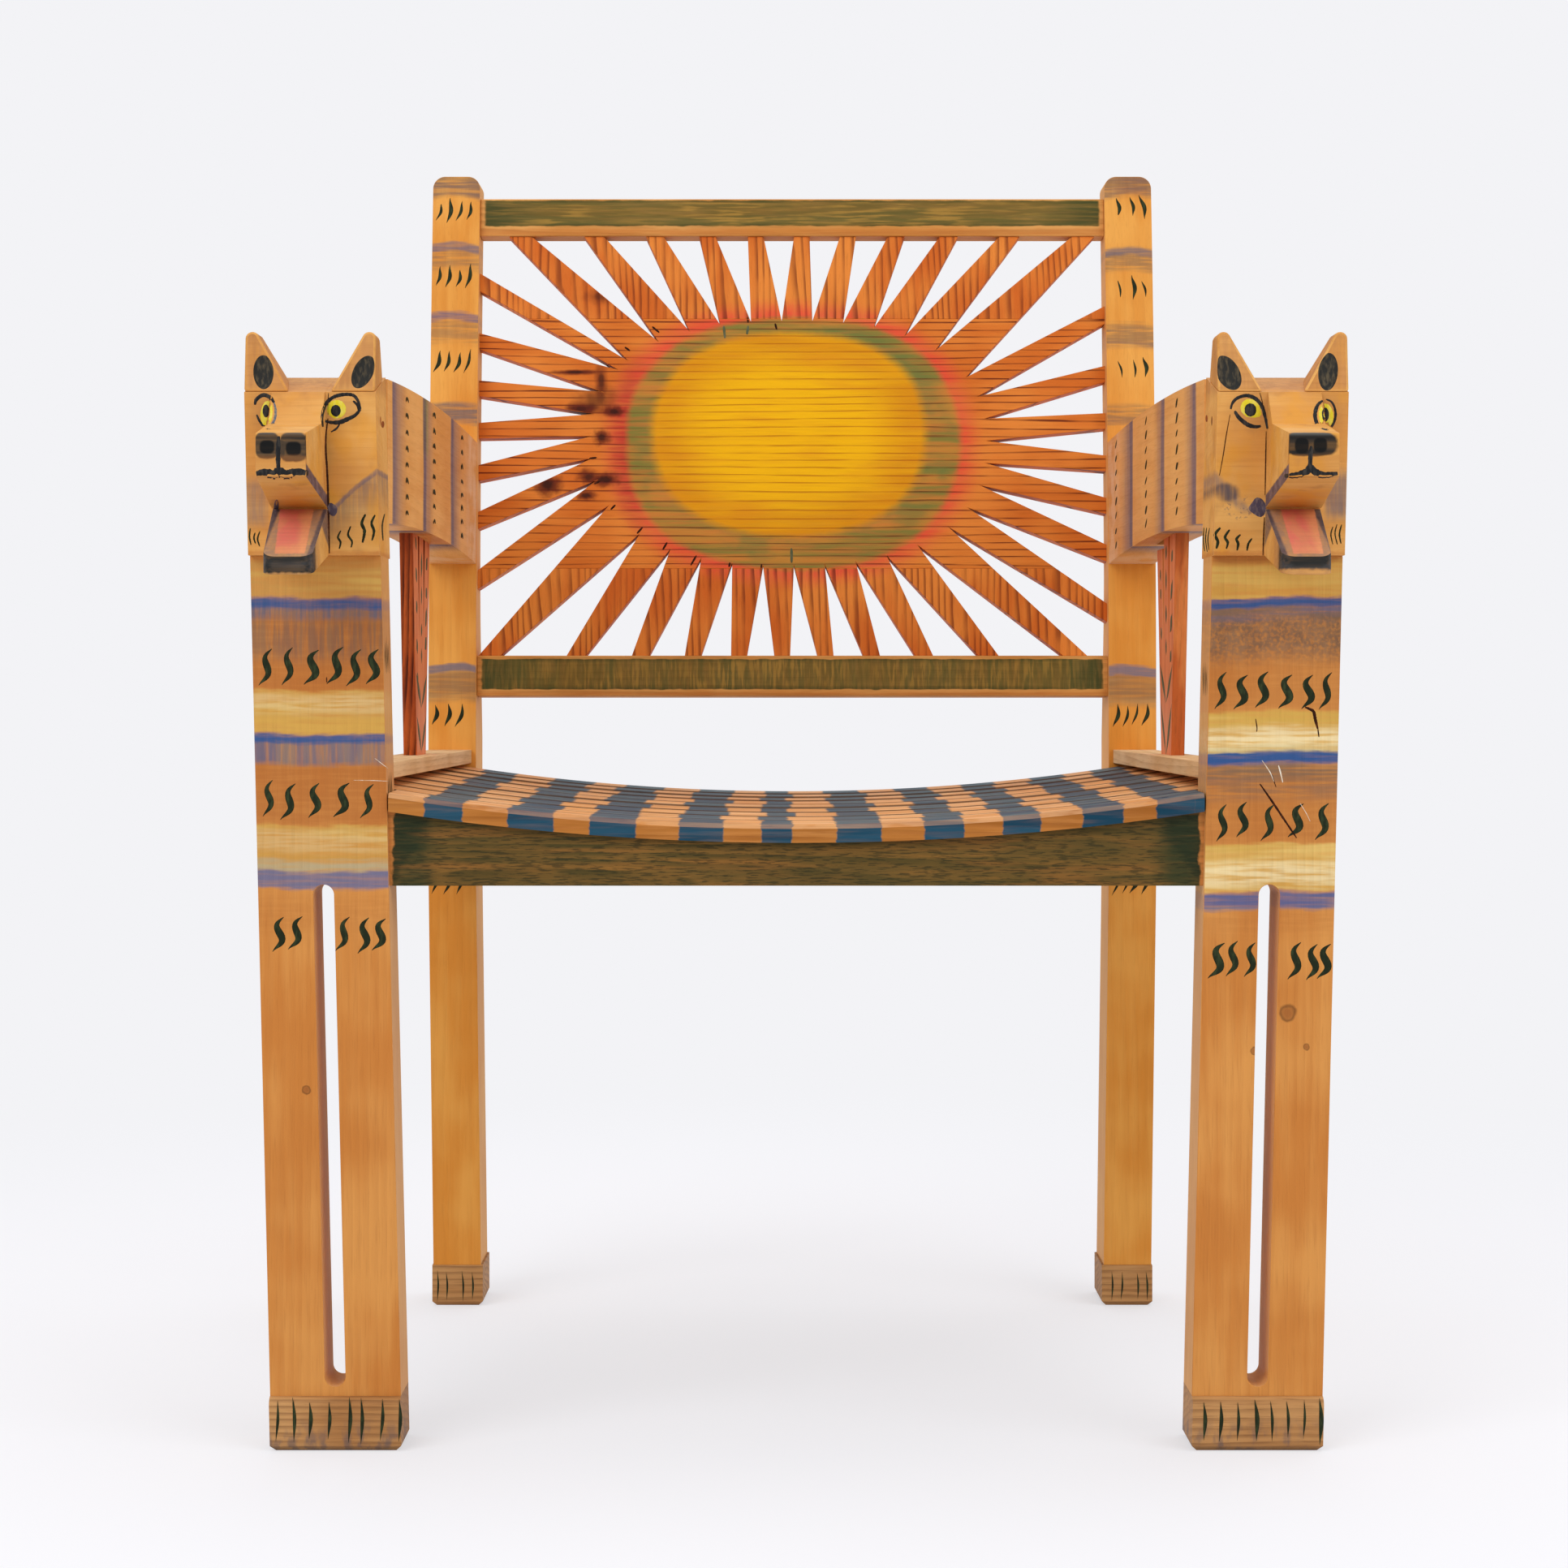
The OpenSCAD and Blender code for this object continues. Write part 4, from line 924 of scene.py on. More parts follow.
class Drawing:
    """Drapes lines and spots over finished pieces, along the lines of sight from the front."""

    step: float = 0.8
    jump: float = 7.0
    spokes: int = 32
    rings: tuple[Point, ...] = ((1.0, -0.08), (0.93, 0.22), (0.6, 0.28), (0.25, 0.28),
                                (0.02, 0.28))
    profile: tuple[Point, ...] = ((-1.0, -0.08), (-0.6, 0.16), (0.0, 0.26), (0.6, 0.16),
                                  (1.0, -0.08))

    def __init__(self, pieces: Sequence[bpy.types.Object], eye: Vector) -> None:
        """Gathers the surface to draw on.

        Args:
            pieces: The finished pieces.
            eye: The place of the eye.
        """
        corners: list[Vector] = []
        faces: list[list[int]] = []
        for piece in pieces:
            first = len(corners)
            corners.extend(vertex.co.copy() for vertex in piece.data.vertices)
            faces.extend([first + corner for corner in face.vertices]
                         for face in piece.data.polygons)
        self.surface = BVHTree.FromPolygons(corners, faces)
        self.eye = eye
        self.chance = Random(77)
        self.sheets: dict[tuple[str, Paint], bmesh.types.BMesh] = {}

    def drop(self, spot: Point, plane: float, lift: float) -> Vector | None:
        """Finds the place on the surface that hides a point of a plane.

        Args:
            spot: The point's X and height.
            plane: The plane's depth.
            lift: How far the result stands proud.

        Returns:
            The place in metres, or None where nothing is hit.
        """
        aim = (at(spot[0], plane, spot[1]) - self.eye).normalized()
        hit, normal, _, _ = self.surface.ray_cast(self.eye, aim)
        if hit is None:
            return None
        if normal.dot(aim) > 0:
            normal = -normal
        return hit + normal * (lift * MM)

    def smooth(self, points: Sequence[Point], closed: bool = False) -> list[Vector]:
        """Runs a smooth line through points.

        Args:
            points: The points.
            closed: Whether the line closes.

        Returns:
            Points about one step apart.
        """
        nodes = [Vector(point) for point in points]
        count = len(nodes)
        line = []
        for index in range(count if closed else count - 1):
            ahead = nodes[(index + 1) % count]
            if closed:
                before, after = nodes[index - 1], nodes[(index + 2) % count]
            else:
                before, after = nodes[max(index - 1, 0)], nodes[min(index + 2, count - 1)]
            here = nodes[index]
            parts = max(2, round((ahead - here).length / self.step))
            for part in range(parts):
                t = part / parts
                line.append(0.5 * (2 * here + (ahead - before) * t
                                   + (2 * before - 5 * here + 4 * ahead - after) * t ** 2
                                   + (3 * here - before - 3 * ahead + after) * t ** 3))
        if not closed:
            line.append(nodes[-1])
        return line

    def lay(self, group: str, brush: Paint, rows: Sequence[Sequence[tuple[Point, float]]],
            plane: float, closed: bool) -> None:
        """Drapes a net of points over the surface.

        Args:
            group: The part of the chair that it is drawn on.
            brush: Its paint.
            rows: Rows of points with their lifts.
            plane: Depth of the plane that the points are in.
            closed: Whether each row closes into a ring.
        """
        if (group, brush) not in self.sheets:
            self.sheets[group, brush] = bmesh.new()
        sheet = self.sheets[group, brush]
        net = []
        for row in rows:
            places = [self.drop(spot, plane, lift) for spot, lift in row]
            net.append([None if place is None else sheet.verts.new(place) for place in places])
        width = len(rows[0])
        for first, second in zip(net, net[1:]):
            for index in range(width if closed else width - 1):
                after = (index + 1) % width
                corners = [first[index], first[after], second[after], second[index]]
                if None in corners:
                    continue
                depths = [corner.co.y for corner in corners]
                if max(depths) - min(depths) > self.jump * MM:
                    continue
                face = sheet.faces.new(corners)
                face.normal_update()
                if face.normal.dot(self.eye - corners[0].co) < 0:
                    face.normal_flip()

    def line(self, group: str, stroke: Stroke) -> None:
        """Draws a stroke that thins out at its ends.

        Args:
            group: The part of the chair that it is drawn on.
            stroke: The stroke.
        """
        path = self.smooth(stroke.points)
        rows = []
        for index, here in enumerate(path):
            way = path[min(index + 1, len(path) - 1)] - path[max(index - 1, 0)]
            aside = Vector((-way.y, way.x)).normalized()
            share = math.sin(math.pi * (0.06 + 0.88 * index / (len(path) - 1))) ** 0.45
            half = stroke.width * 0.64 * share * self.chance.uniform(0.88, 1.12)
            rows.append([(tuple(here + aside * half * place), lift)
                         for place, lift in self.profile])
        self.lay(group, stroke.paint, rows, stroke.plane, False)

    def spot(self, group: str, spot: Spot) -> None:
        """Fills an oval, drawn out to a point on one side where it has one.

        Args:
            group: The part of the chair that it is drawn on.
            spot: The oval.
        """
        turn = Matrix.Rotation(math.radians(spot.tilt), 2)
        edge = []
        for index in range(self.spokes):
            angle = math.tau * index / self.spokes
            reach = 1.0 + spot.point * max(0.0, math.cos(angle)) ** 6
            way = Vector((math.cos(angle) * spot.half_width * reach,
                          math.sin(angle) * spot.half_height))
            edge.append(way * self.chance.uniform(0.97, 1.03))
        rows = [[(tuple(Vector(spot.middle) + turn @ (way * ring)), spot.lift + lift)
                 for way in edge] for ring, lift in self.rings]
        self.lay(group, spot.paint, rows, spot.plane, True)

    def finish(self, slots: dict[str, str]) -> None:
        """Makes one piece of each part's marks of one paint.

        Args:
            slots: The record's material slot of each part.
        """
        paints = {brush: plain_paint(f"{brush.word}_paint", *brush.value) for brush in Paint}
        for (group, brush), sheet in self.sheets.items():
            loose = [vertex for vertex in sheet.verts if not vertex.link_faces]
            bmesh.ops.delete(sheet, geom=loose, context="VERTS")
            for face in sheet.faces:
                face.smooth = True
            mesh = bpy.data.meshes.new(f"{group}_{brush.word}")
            sheet.to_mesh(mesh)
            sheet.free()
            mesh.materials.append(paints[brush])
            hand_over(link(bpy.data.objects.new(mesh.name, mesh)), slots[group])


@dataclass
class Studio:
    """The camera, the lamps, the floor and the backdrop."""

    eye_x: float = -14.0
    eye_distance: float = 2000.0
    eye_height: float = 499.0
    image_pixels: int = 1932
    focal_pixels: float = 3750.0
    vanish_x: float = 955.0
    horizon_y: float = 850.0
    backdrop: Colour = paint(243, 243, 246)
    floor_half: float = 30.0
    floor_colour: Colour = (0.8, 0.8, 0.82)
    floor_shade: Colour = (0.42, 0.42, 0.44)
    floor_glow: float = 0.58
    floor_melts: tuple[float, float] = (0.7, 1.7)
    room_light: float = 0.62

    @property
    def eye(self) -> Vector:
        """The place of the camera."""
        return at(self.eye_x, -self.eye_distance, self.eye_height)

    def build(self) -> None:
        """Sets up everything that isn't the chair."""
        self.camera()
        self.lamps()
        self.floor()
        self.world()

    def camera(self) -> None:
        """Places the camera level in front of the chair, shifted as the photograph is framed."""
        lens = bpy.data.cameras.new("photo_view")
        lens.sensor_width = 36.0
        lens.lens = self.focal_pixels / self.image_pixels * lens.sensor_width
        lens.shift_x = (self.image_pixels / 2 - self.vanish_x) / self.image_pixels
        lens.shift_y = (self.horizon_y - self.image_pixels / 2) / self.image_pixels
        view = link(bpy.data.objects.new("photo_view", lens))
        view.location = self.eye
        view.rotation_euler = (math.pi / 2, 0.0, 0.0)
        bpy.context.scene.camera = view

    def lamps(self) -> None:
        """Hangs three large soft lamps."""
        for name, spot, size, power in (
                ("key_lamp", (-1.9, -2.4, 2.6), 2.4, 48.0),
                ("fill_lamp", (2.3, -2.0, 1.9), 2.4, 27.5),
                ("top_lamp", (0.3, 0.8, 3.2), 2.6, 28.0)):
            data = bpy.data.lights.new(name, "AREA")
            data.size = size
            data.energy = power
            lamp = link(bpy.data.objects.new(name, data))
            lamp.location = spot
            aim = Vector((0.0, 0.0, 0.45)) - lamp.location
            lamp.rotation_euler = aim.to_track_quat("-Z", "Y").to_euler()

    def floor(self) -> None:
        """Lays a floor that melts into the backdrop away from the chair."""
        mesh = bpy.data.meshes.new("floor")
        half = self.floor_half
        mesh.from_pydata([(-half, -half, 0), (half, -half, 0), (half, half, 0), (-half, half, 0)],
                         [], [(0, 1, 2, 3)])
        floor = link(bpy.data.objects.new("floor", mesh))
        material = bpy.data.materials.new("pale_floor")
        material.use_nodes = True
        net = Graph(material.node_tree)
        near = net.add("ShaderNodeAddShader", net.add("ShaderNodeBsdfDiffuse", self.floor_shade),
                       net.add("ShaderNodeEmission", self.backdrop, self.floor_glow))
        place = net.add("ShaderNodeTexCoord").outputs["Object"]
        length = net.add("ShaderNodeVectorMath", place, operation="LENGTH").outputs["Value"]
        seen = net.add("ShaderNodeMixShader", Value(net, length).step(*self.floor_melts), near,
                       net.add("ShaderNodeEmission", self.backdrop))
        lit = net.add("ShaderNodeBsdfDiffuse", self.floor_colour)
        looked = self.looked_at(net, "Camera", "Glossy", "Transmission")
        net.add("ShaderNodeOutputMaterial", net.add("ShaderNodeMixShader", looked, lit, seen))
        mesh.materials.append(material)

    def world(self) -> None:
        """Gives the room its light and the view its pale backdrop."""
        world = bpy.data.worlds.new("studio_room")
        bpy.context.scene.world = world
        world.use_nodes = True
        net = Graph(world.node_tree)
        room = net.add("ShaderNodeBackground", (1.0, 1.0, 1.0), self.room_light)
        seen = net.add("ShaderNodeBackground", self.backdrop)
        looked = self.looked_at(net, "Camera", "Transmission")
        net.add("ShaderNodeOutputWorld", net.add("ShaderNodeMixShader", looked, room, seen))
        bpy.context.scene.view_settings.view_transform = "Standard"

    def looked_at(self, net: Graph, first: str, *others: str) -> Value:
        """Is 1 for rays that show the backdrop and 0 for the light on the chair.

        Args:
            net: The material's or the world's tree.
            first: Light Path's word for one kind of ray.
            *others: Its words for more kinds.

        Returns:
            The share of the backdrop.
        """
        path = net.add("ShaderNodeLightPath").outputs
        looked = Value(net, path[f"Is {first} Ray"])
        for kind in others:
            looked = looked.either(path[f"Is {kind} Ray"])
        return looked


@dataclass
class FrontPosts:
    """The front legs with their paws, their painted bands and their rows of marks."""

    marks: MarkSet
    lean: float = math.tan(math.radians(1.37))
    outer_foot: float = 345.0
    width: float = 86.0
    paw_face: float = -6.0
    claw_height: float = 20.5
    curl_length: float = 24.0
    line_start: float = 9.0
    line_step: float = 6.0
    line_rise: float = 4.0
    curled_brush: Brush = Brush(24.5, 5.0, 2.6)
    claw_brush: Brush = Brush(28.0, 2.4, 0.5, 0.8)
    side_brush: Brush = Brush(29.0, 1.5, 0.9, 1.2, 0.15)
    bands: dict[Side, tuple[Band, ...]] = per_side(
        (Band(497, 550, UMBER, 0.75, 5.0, 0.3), Band(409, 452, UMBER, 0.75, 5.0, 0.3),
         Band(519, 546, HAZE, 0.6, 8.0, 0.9, paint(104, 84, 76), Grain.UPRIGHT),
         Band(340, 364, UMBER, 0.3, 12.0, 0.6),
         Band(559, 590, OLIVE, 0.85, 1.5, 0.4, paint(200, 150, 78)),
         # Orange-brown line just under the head: painted shade where the head overhangs the post.
         Band(583, 592, paint(206, 126, 60), 0.6, 2.5, 0.5),
         Band(470, 498, STRAW, 0.9, 1.5, 0.3, paint(204, 158, 80)),
         Band(469, 480, paint(212, 164, 76), 0.7, 3.0, 0.5),
         Band(380, 410, STRAW, 0.86, 1.5, 0.3, paint(198, 148, 70)),
         Band(379, 387, paint(176, 168, 140), 0.7, 2.5, 0.6),
         Band(484, 495, MILK, 0.25, 4.0, 0.95), Band(393, 407, MILK, 0.2, 4.0, 0.95),
         Band(545, 557, paint(96, 98, 116), 0.85, 3.0, 0.5, paint(128, 104, 96), Grain.UPRIGHT),
         Band(551.5, 558.5, BLUE, 0.84, 1.8, 0.3),
         Band(450, 468, paint(98, 98, 122), 0.88, 2.5, 0.45, paint(134, 116, 108), Grain.UPRIGHT),
         Band(464, 469.5, BLUE, 0.88, 1.6, 0.25),
         Band(368.5, 380, paint(78, 92, 142), 0.96, 1.8, 0.25, paint(112, 110, 138))),
        (Band(485, 556, UMBER, 0.55, 5.0, 0.3), Band(398, 446, UMBER, 0.6, 5.0, 0.3),
         Band(520, 552, HAZE, 0.75, 9.0, 0.7, paint(98, 82, 70), Grain.DEPTH),
         Band(428, 447, HAZE, 0.5, 6.0, 0.9, paint(110, 96, 86)),
         Band(340, 356, UMBER, 0.35, 10.0, 0.6),
         Band(560, 590, OLIVE, 0.8, 1.5, 0.45, paint(208, 158, 72)),
         # Orange-brown line just under the head: painted shade where the head overhangs the post.
         Band(583, 592, paint(176, 100, 48), 0.75, 2.5, 0.4),
         Band(457, 485, STRAW, 0.88, 1.5, 0.3, CREAM), Band(367, 398, STRAW, 0.86, 1.5, 0.3, CREAM),
         Band(457, 463, paint(196, 184, 138), 0.6, 2.0, 0.6),
         Band(461, 474, MILK, 0.6, 4.0, 0.95), Band(370, 386, MILK, 0.55, 5.0, 0.95),
         Band(545, 556, HAZE, 0.8, 4.0, 0.6, paint(96, 100, 130)),
         Band(553.5, 559.5, BLUE, 0.92, 1.5, 0.25),
         Band(441, 452, HAZE, 0.75, 4.0, 0.6, paint(96, 96, 122)),
         Band(450.5, 458.5, BLUE, 0.97, 1.5, 0.15),
         Band(355, 366, paint(76, 92, 140), 0.92, 1.8, 0.3, paint(116, 114, 132))))
    rows: dict[Side, tuple[tuple[float, float, tuple[float, ...]], ...]] = per_side(
        ((513.6, 25.0, (-348.4, -334, -318, -302.5, -290.3, -278)),
         (426.5, 24.0, (-346.8, -333.5, -316.4, -298.3, -281.7)),
         (338.2, 23.0, (-339.9, -328.7, -297.7, -283.9, -273.7))),
        ((498.5, 24.5, (279.3, 292.7, 306.5, 322, 336.4, 348.2)),
         (412.5, 25.0, (279.9, 293.2, 310.3, 328.9, 346.0)),
         (321.1, 24.5, (276.7, 286.8, 298.5, 327.9, 339.4, 347.4))))
    claws: dict[Side, tuple[float, ...]] = per_side(
        (-340.2, -329.3, -318.7, -306.2, -292.8, -284.9, -271.6, -260),
        (267.3, 277.9, 289.3, 301.3, 311.4, 321.9, 332.7, 343.3))
    knots: tuple[tuple[float, float, float], ...] = (
        (323.0, 286.7, 5.0), (300.7, 261.7, 2.2), (335.3, 264.4, 2.0), (-322.0, 236.0, 2.6))
    scars: tuple[Stroke, ...] = (
        *lines(Paint.CRACK, 0.0,
               (1.9, 334.3, 487.6, 337.2, 486.4, 339.9, 484.6, 341.0, 479.6, 342.6, 473.4),
               (0.8, 342.6, 474.0, 343.4, 468.0),
               (1.3, 304.6, 437.2, 312.8, 425.4, 320.6, 413.7, 328.7, 401.7),
               (0.7, 301.8, 480.0, 302.7, 474.0, 302.4, 471.5),
               (0.6, 312.4, 443.5, 315.2, 435.0)),
        *lines(Paint.CHALK, 0.0,
               (0.6, 306.0, 452.6, 308.8, 448.6, 311.6, 444.2, 314.4, 437.6),
               (0.8, 316.8, 449.4, 318.4, 443.6, 319.6, 438.2),
               (0.4, 331.0, 424.5, 335.0, 418.0, 337.6, 412.6),
               (0.35, -291.0, 439.6, -278.0, 439.4, -268.0, 438.9),
               (0.35, -277.0, 454.0, -268.4, 447.4)),
        *lines(Paint.CRACK, 0.0, (0.7, -308.7, 507.4, -308.6, 503.8)))

    def build(self) -> list[bpy.types.Object]:
        """Makes both posts, both paws and all their marks.

        Returns:
            The posts.
        """
        posts = []
        for side in Side:
            edge = timber_material(f"post_arris_{side.word}", HONEY, 40.0 + side.value)
            post = Board(Sketch(f"painted_post_{side.word}"), HONEY, 10.0 * side.value)
            for x, height, radius in self.knots:
                if x * side.value > 0:
                    post.knot(x, height, radius)
            bands_on(post, self.bands[side])
            posts.append(worn_copy(f"front_leg_{side.word}", "front_wood", 1.1, post.done(), edge))
            paw = self.paw_material(side)
            worn_copy(f"front_paw_{side.word}", "paw_wood", 1.2, paw, paw)
            self.put_marks(side)
        return posts

    def draw(self, drawing: Drawing) -> None:
        """Draws the cracks and scratches of the posts."""
        for scar in self.scars:
            drawing.line("post_scars", scar)

    def paw_material(self, side: Side) -> bpy.types.Material:
        """Makes the smudged timber of a paw.

        Args:
            side: The side of the chair.

        Returns:
            The material.
        """
        board = Board(Sketch(f"paw_{side.word}"), PAW_WOOD, 5.0 * side.value)
        sketch = board.sketch
        smudge = sketch.noise(9.0, (1.0, 1.0, 0.5), 3.0, 31.0).step(0.45, 0.62)
        low = sketch.height.step(26.0, 4.0)
        board.lay(smudge * low, SLATE, 0.6, 0.2)
        board.lay(sketch.height.step(6.0, 0.5), paint(92, 66, 42), 0.5, 0.3)
        return board.done(0.2)

    def put_marks(self, side: Side) -> None:
        """Sets the rows of curled marks, the claws and the scratched lines of one post.

        Args:
            side: The side of the chair.
        """
        chance = Random(11 + side.value)
        curled = []
        for height, length, places in self.rows[side]:
            for x in places:
                curled.append(Mark(at(x, 0.0, height + chance.uniform(-1.2, 1.2)),
                                   leaning(FRONT, chance.uniform(-17, -8)),
                                   length / self.curl_length * chance.uniform(0.92, 1.05),
                                   chance.uniform(0.8, 1.15)))
        self.marks.put(f"curled_marks_{side.word}", "front_wood", curled, self.curled_brush)
        claws = [Mark(at(x, self.paw_face, self.claw_height + chance.uniform(-1, 1)),
                      leaning(FRONT, chance.uniform(-3, 3)), chance.uniform(0.85, 1.1),
                      chance.uniform(0.7, 1.3)) for x in self.claws[side]]
        self.marks.put(f"claws_{side.word}", "paw_wood", claws, self.claw_brush)
        scratches = []
        for height, _, _ in self.rows[side][:2]:
            inner = self.outer_foot - self.width + height * self.lean
            for place in range(4):
                depth = self.line_start + self.line_step * place
                scratches.append(Mark(at(side.value * inner, depth, height + self.line_rise),
                                      leaning(INWARD[side], chance.uniform(-3, 3)),
                                      chance.uniform(0.8, 1.15)))
        self.marks.put(f"side_lines_{side.word}", "front_wood", scratches, self.side_brush)


@dataclass
class BackPosts:
    """The back legs with their paws, grey bands and small marks."""

    marks: MarkSet
    bands: dict[Side, tuple[Band, ...]] = per_side(
        (Band(905, 925, HAZE, 0.75, 3.0, 0.6, SLATE), Band(845, 861, HAZE, 0.55, 5.0, 0.8),
         Band(859, 866, paint(100, 96, 116), 0.75, 1.6, 0.4),
         Band(784, 802, HAZE, 0.5, 5.0, 0.8),
         Band(801, 808, paint(96, 90, 122), 0.8, 1.6, 0.4),
         Band(717, 733, paint(104, 98, 102), 0.8, 3.0, 0.7, SLATE),
         Band(491, 516, paint(170, 134, 88), 0.7, 4.0, 0.4, HAZE),
         Band(514.5, 520.5, paint(112, 108, 124), 0.85, 1.3, 0.3)),
        (Band(904, 925, HAZE, 0.75, 3.0, 0.6, SLATE), Band(843, 860, HAZE, 0.65, 4.0, 0.8),
         Band(855, 861, paint(104, 98, 112), 0.7, 1.6, 0.4),
         Band(780, 798, HAZE, 0.65, 4.0, 0.8, SLATE),
         Band(716, 731, HAZE, 0.65, 4.0, 0.8, SLATE),
         Band(488, 512, paint(172, 138, 94), 0.7, 4.0, 0.4, HAZE),
         Band(511.5, 519.5, paint(116, 112, 130), 0.85, 1.4, 0.3)))
    rows: dict[Side, tuple[float, ...]] = per_side(
        (892.6, 836.9, 766.4, 478.6, 342.0),
        (895.7, 827.8, 761.5, 478.0, 342.0))
    columns: dict[Side, tuple[float, ...]] = per_side(
        (264.5, 272.5, 281.0, 289.0),
        (267.7, 279.3, 288.0))
    low_columns: dict[Side, tuple[float, ...]] = per_side(
        (289.5, 279.2, 269.5),
        (262.8, 270.6, 278.1, 286.5))
    claws: tuple[float, ...] = (259.1, 267.0, 279.9, 287.3)
    claw_height: float = 16.0
    paw_face: float = 465.8
    high_brush: Brush = Brush(18.5, 2.6, 0.8, 0.95)
    low_brush: Brush = Brush(18.5, 2.6, 1.1, 0.8)
    claw_brush: Brush = Brush(25.0, 1.5, 0.4, 0.8)
    crown: float = 0.006
    seat_depth: float = 467.0
    curve_height: float = 460.0
    top_height: float = 921.0
    curve: float = 36.0

    def face(self, height: float) -> float:
        """Gives the depth of the posts' front face at a height."""
        rise = max(0.0, (height - self.curve_height) / (self.top_height - self.curve_height))
        return self.seat_depth + self.curve * rise ** 2

    def build(self) -> None:
        """Makes both posts, both paws and all their marks."""
        for side in Side:
            edge = timber_material(f"back_arris_{side.word}", ORANGE, 60.0 + side.value)
            post = Board(Sketch(f"back_post_{side.word}"), ORANGE, 20.0 * side.value)
            bands_on(post, self.bands[side], 1.8, 0.3, self.crown)
            worn_copy(f"back_leg_{side.word}", "back_wood", 1.0, post.done(), edge)
            paw = timber_material(f"back_paw_{side.word}", PAW_WOOD, 70.0 + side.value)
            worn_copy(f"back_paw_{side.word}", "paw_wood", 1.0, paw)
            self.put_marks(side)

    def put_marks(self, side: Side) -> None:
        """Sets the small marks and the claws of one post.

        Args:
            side: The side of the chair.
        """
        chance = Random(31 + side.value)
        for kind, rows, columns, brush in (
                ("high", self.rows[side][:3], self.columns[side], self.high_brush),
                ("low", self.rows[side][3:], self.low_columns[side], self.low_brush)):
            angles = (-20, -7) if side is Side.LEFT or kind == "low" else (2, 14)
            marks = []
            for height in rows:
                slope = (self.face(height + 5) - self.face(height - 5)) / 10
                for x in columns:
                    turn = leaning(FRONT, chance.uniform(*angles))
                    turn = (turn[0] - math.atan(slope), turn[1], turn[2])
                    marks.append(Mark(at(side.value * x, self.face(height),
                                         height + chance.uniform(-1, 1)), turn,
                                      chance.uniform(0.85, 1.15), chance.uniform(0.7, 1.4)))
            self.marks.put(f"{kind}_marks_{side.word}", "back_wood", marks, brush)
        claws = [Mark(at(side.value * x, self.paw_face, self.claw_height),
                      leaning(FRONT, chance.uniform(-4, 4)), chance.uniform(0.8, 1.1))
                 for x in self.claws]
        self.marks.put(f"back_claws_{side.word}", "paw_wood", claws, self.claw_brush)


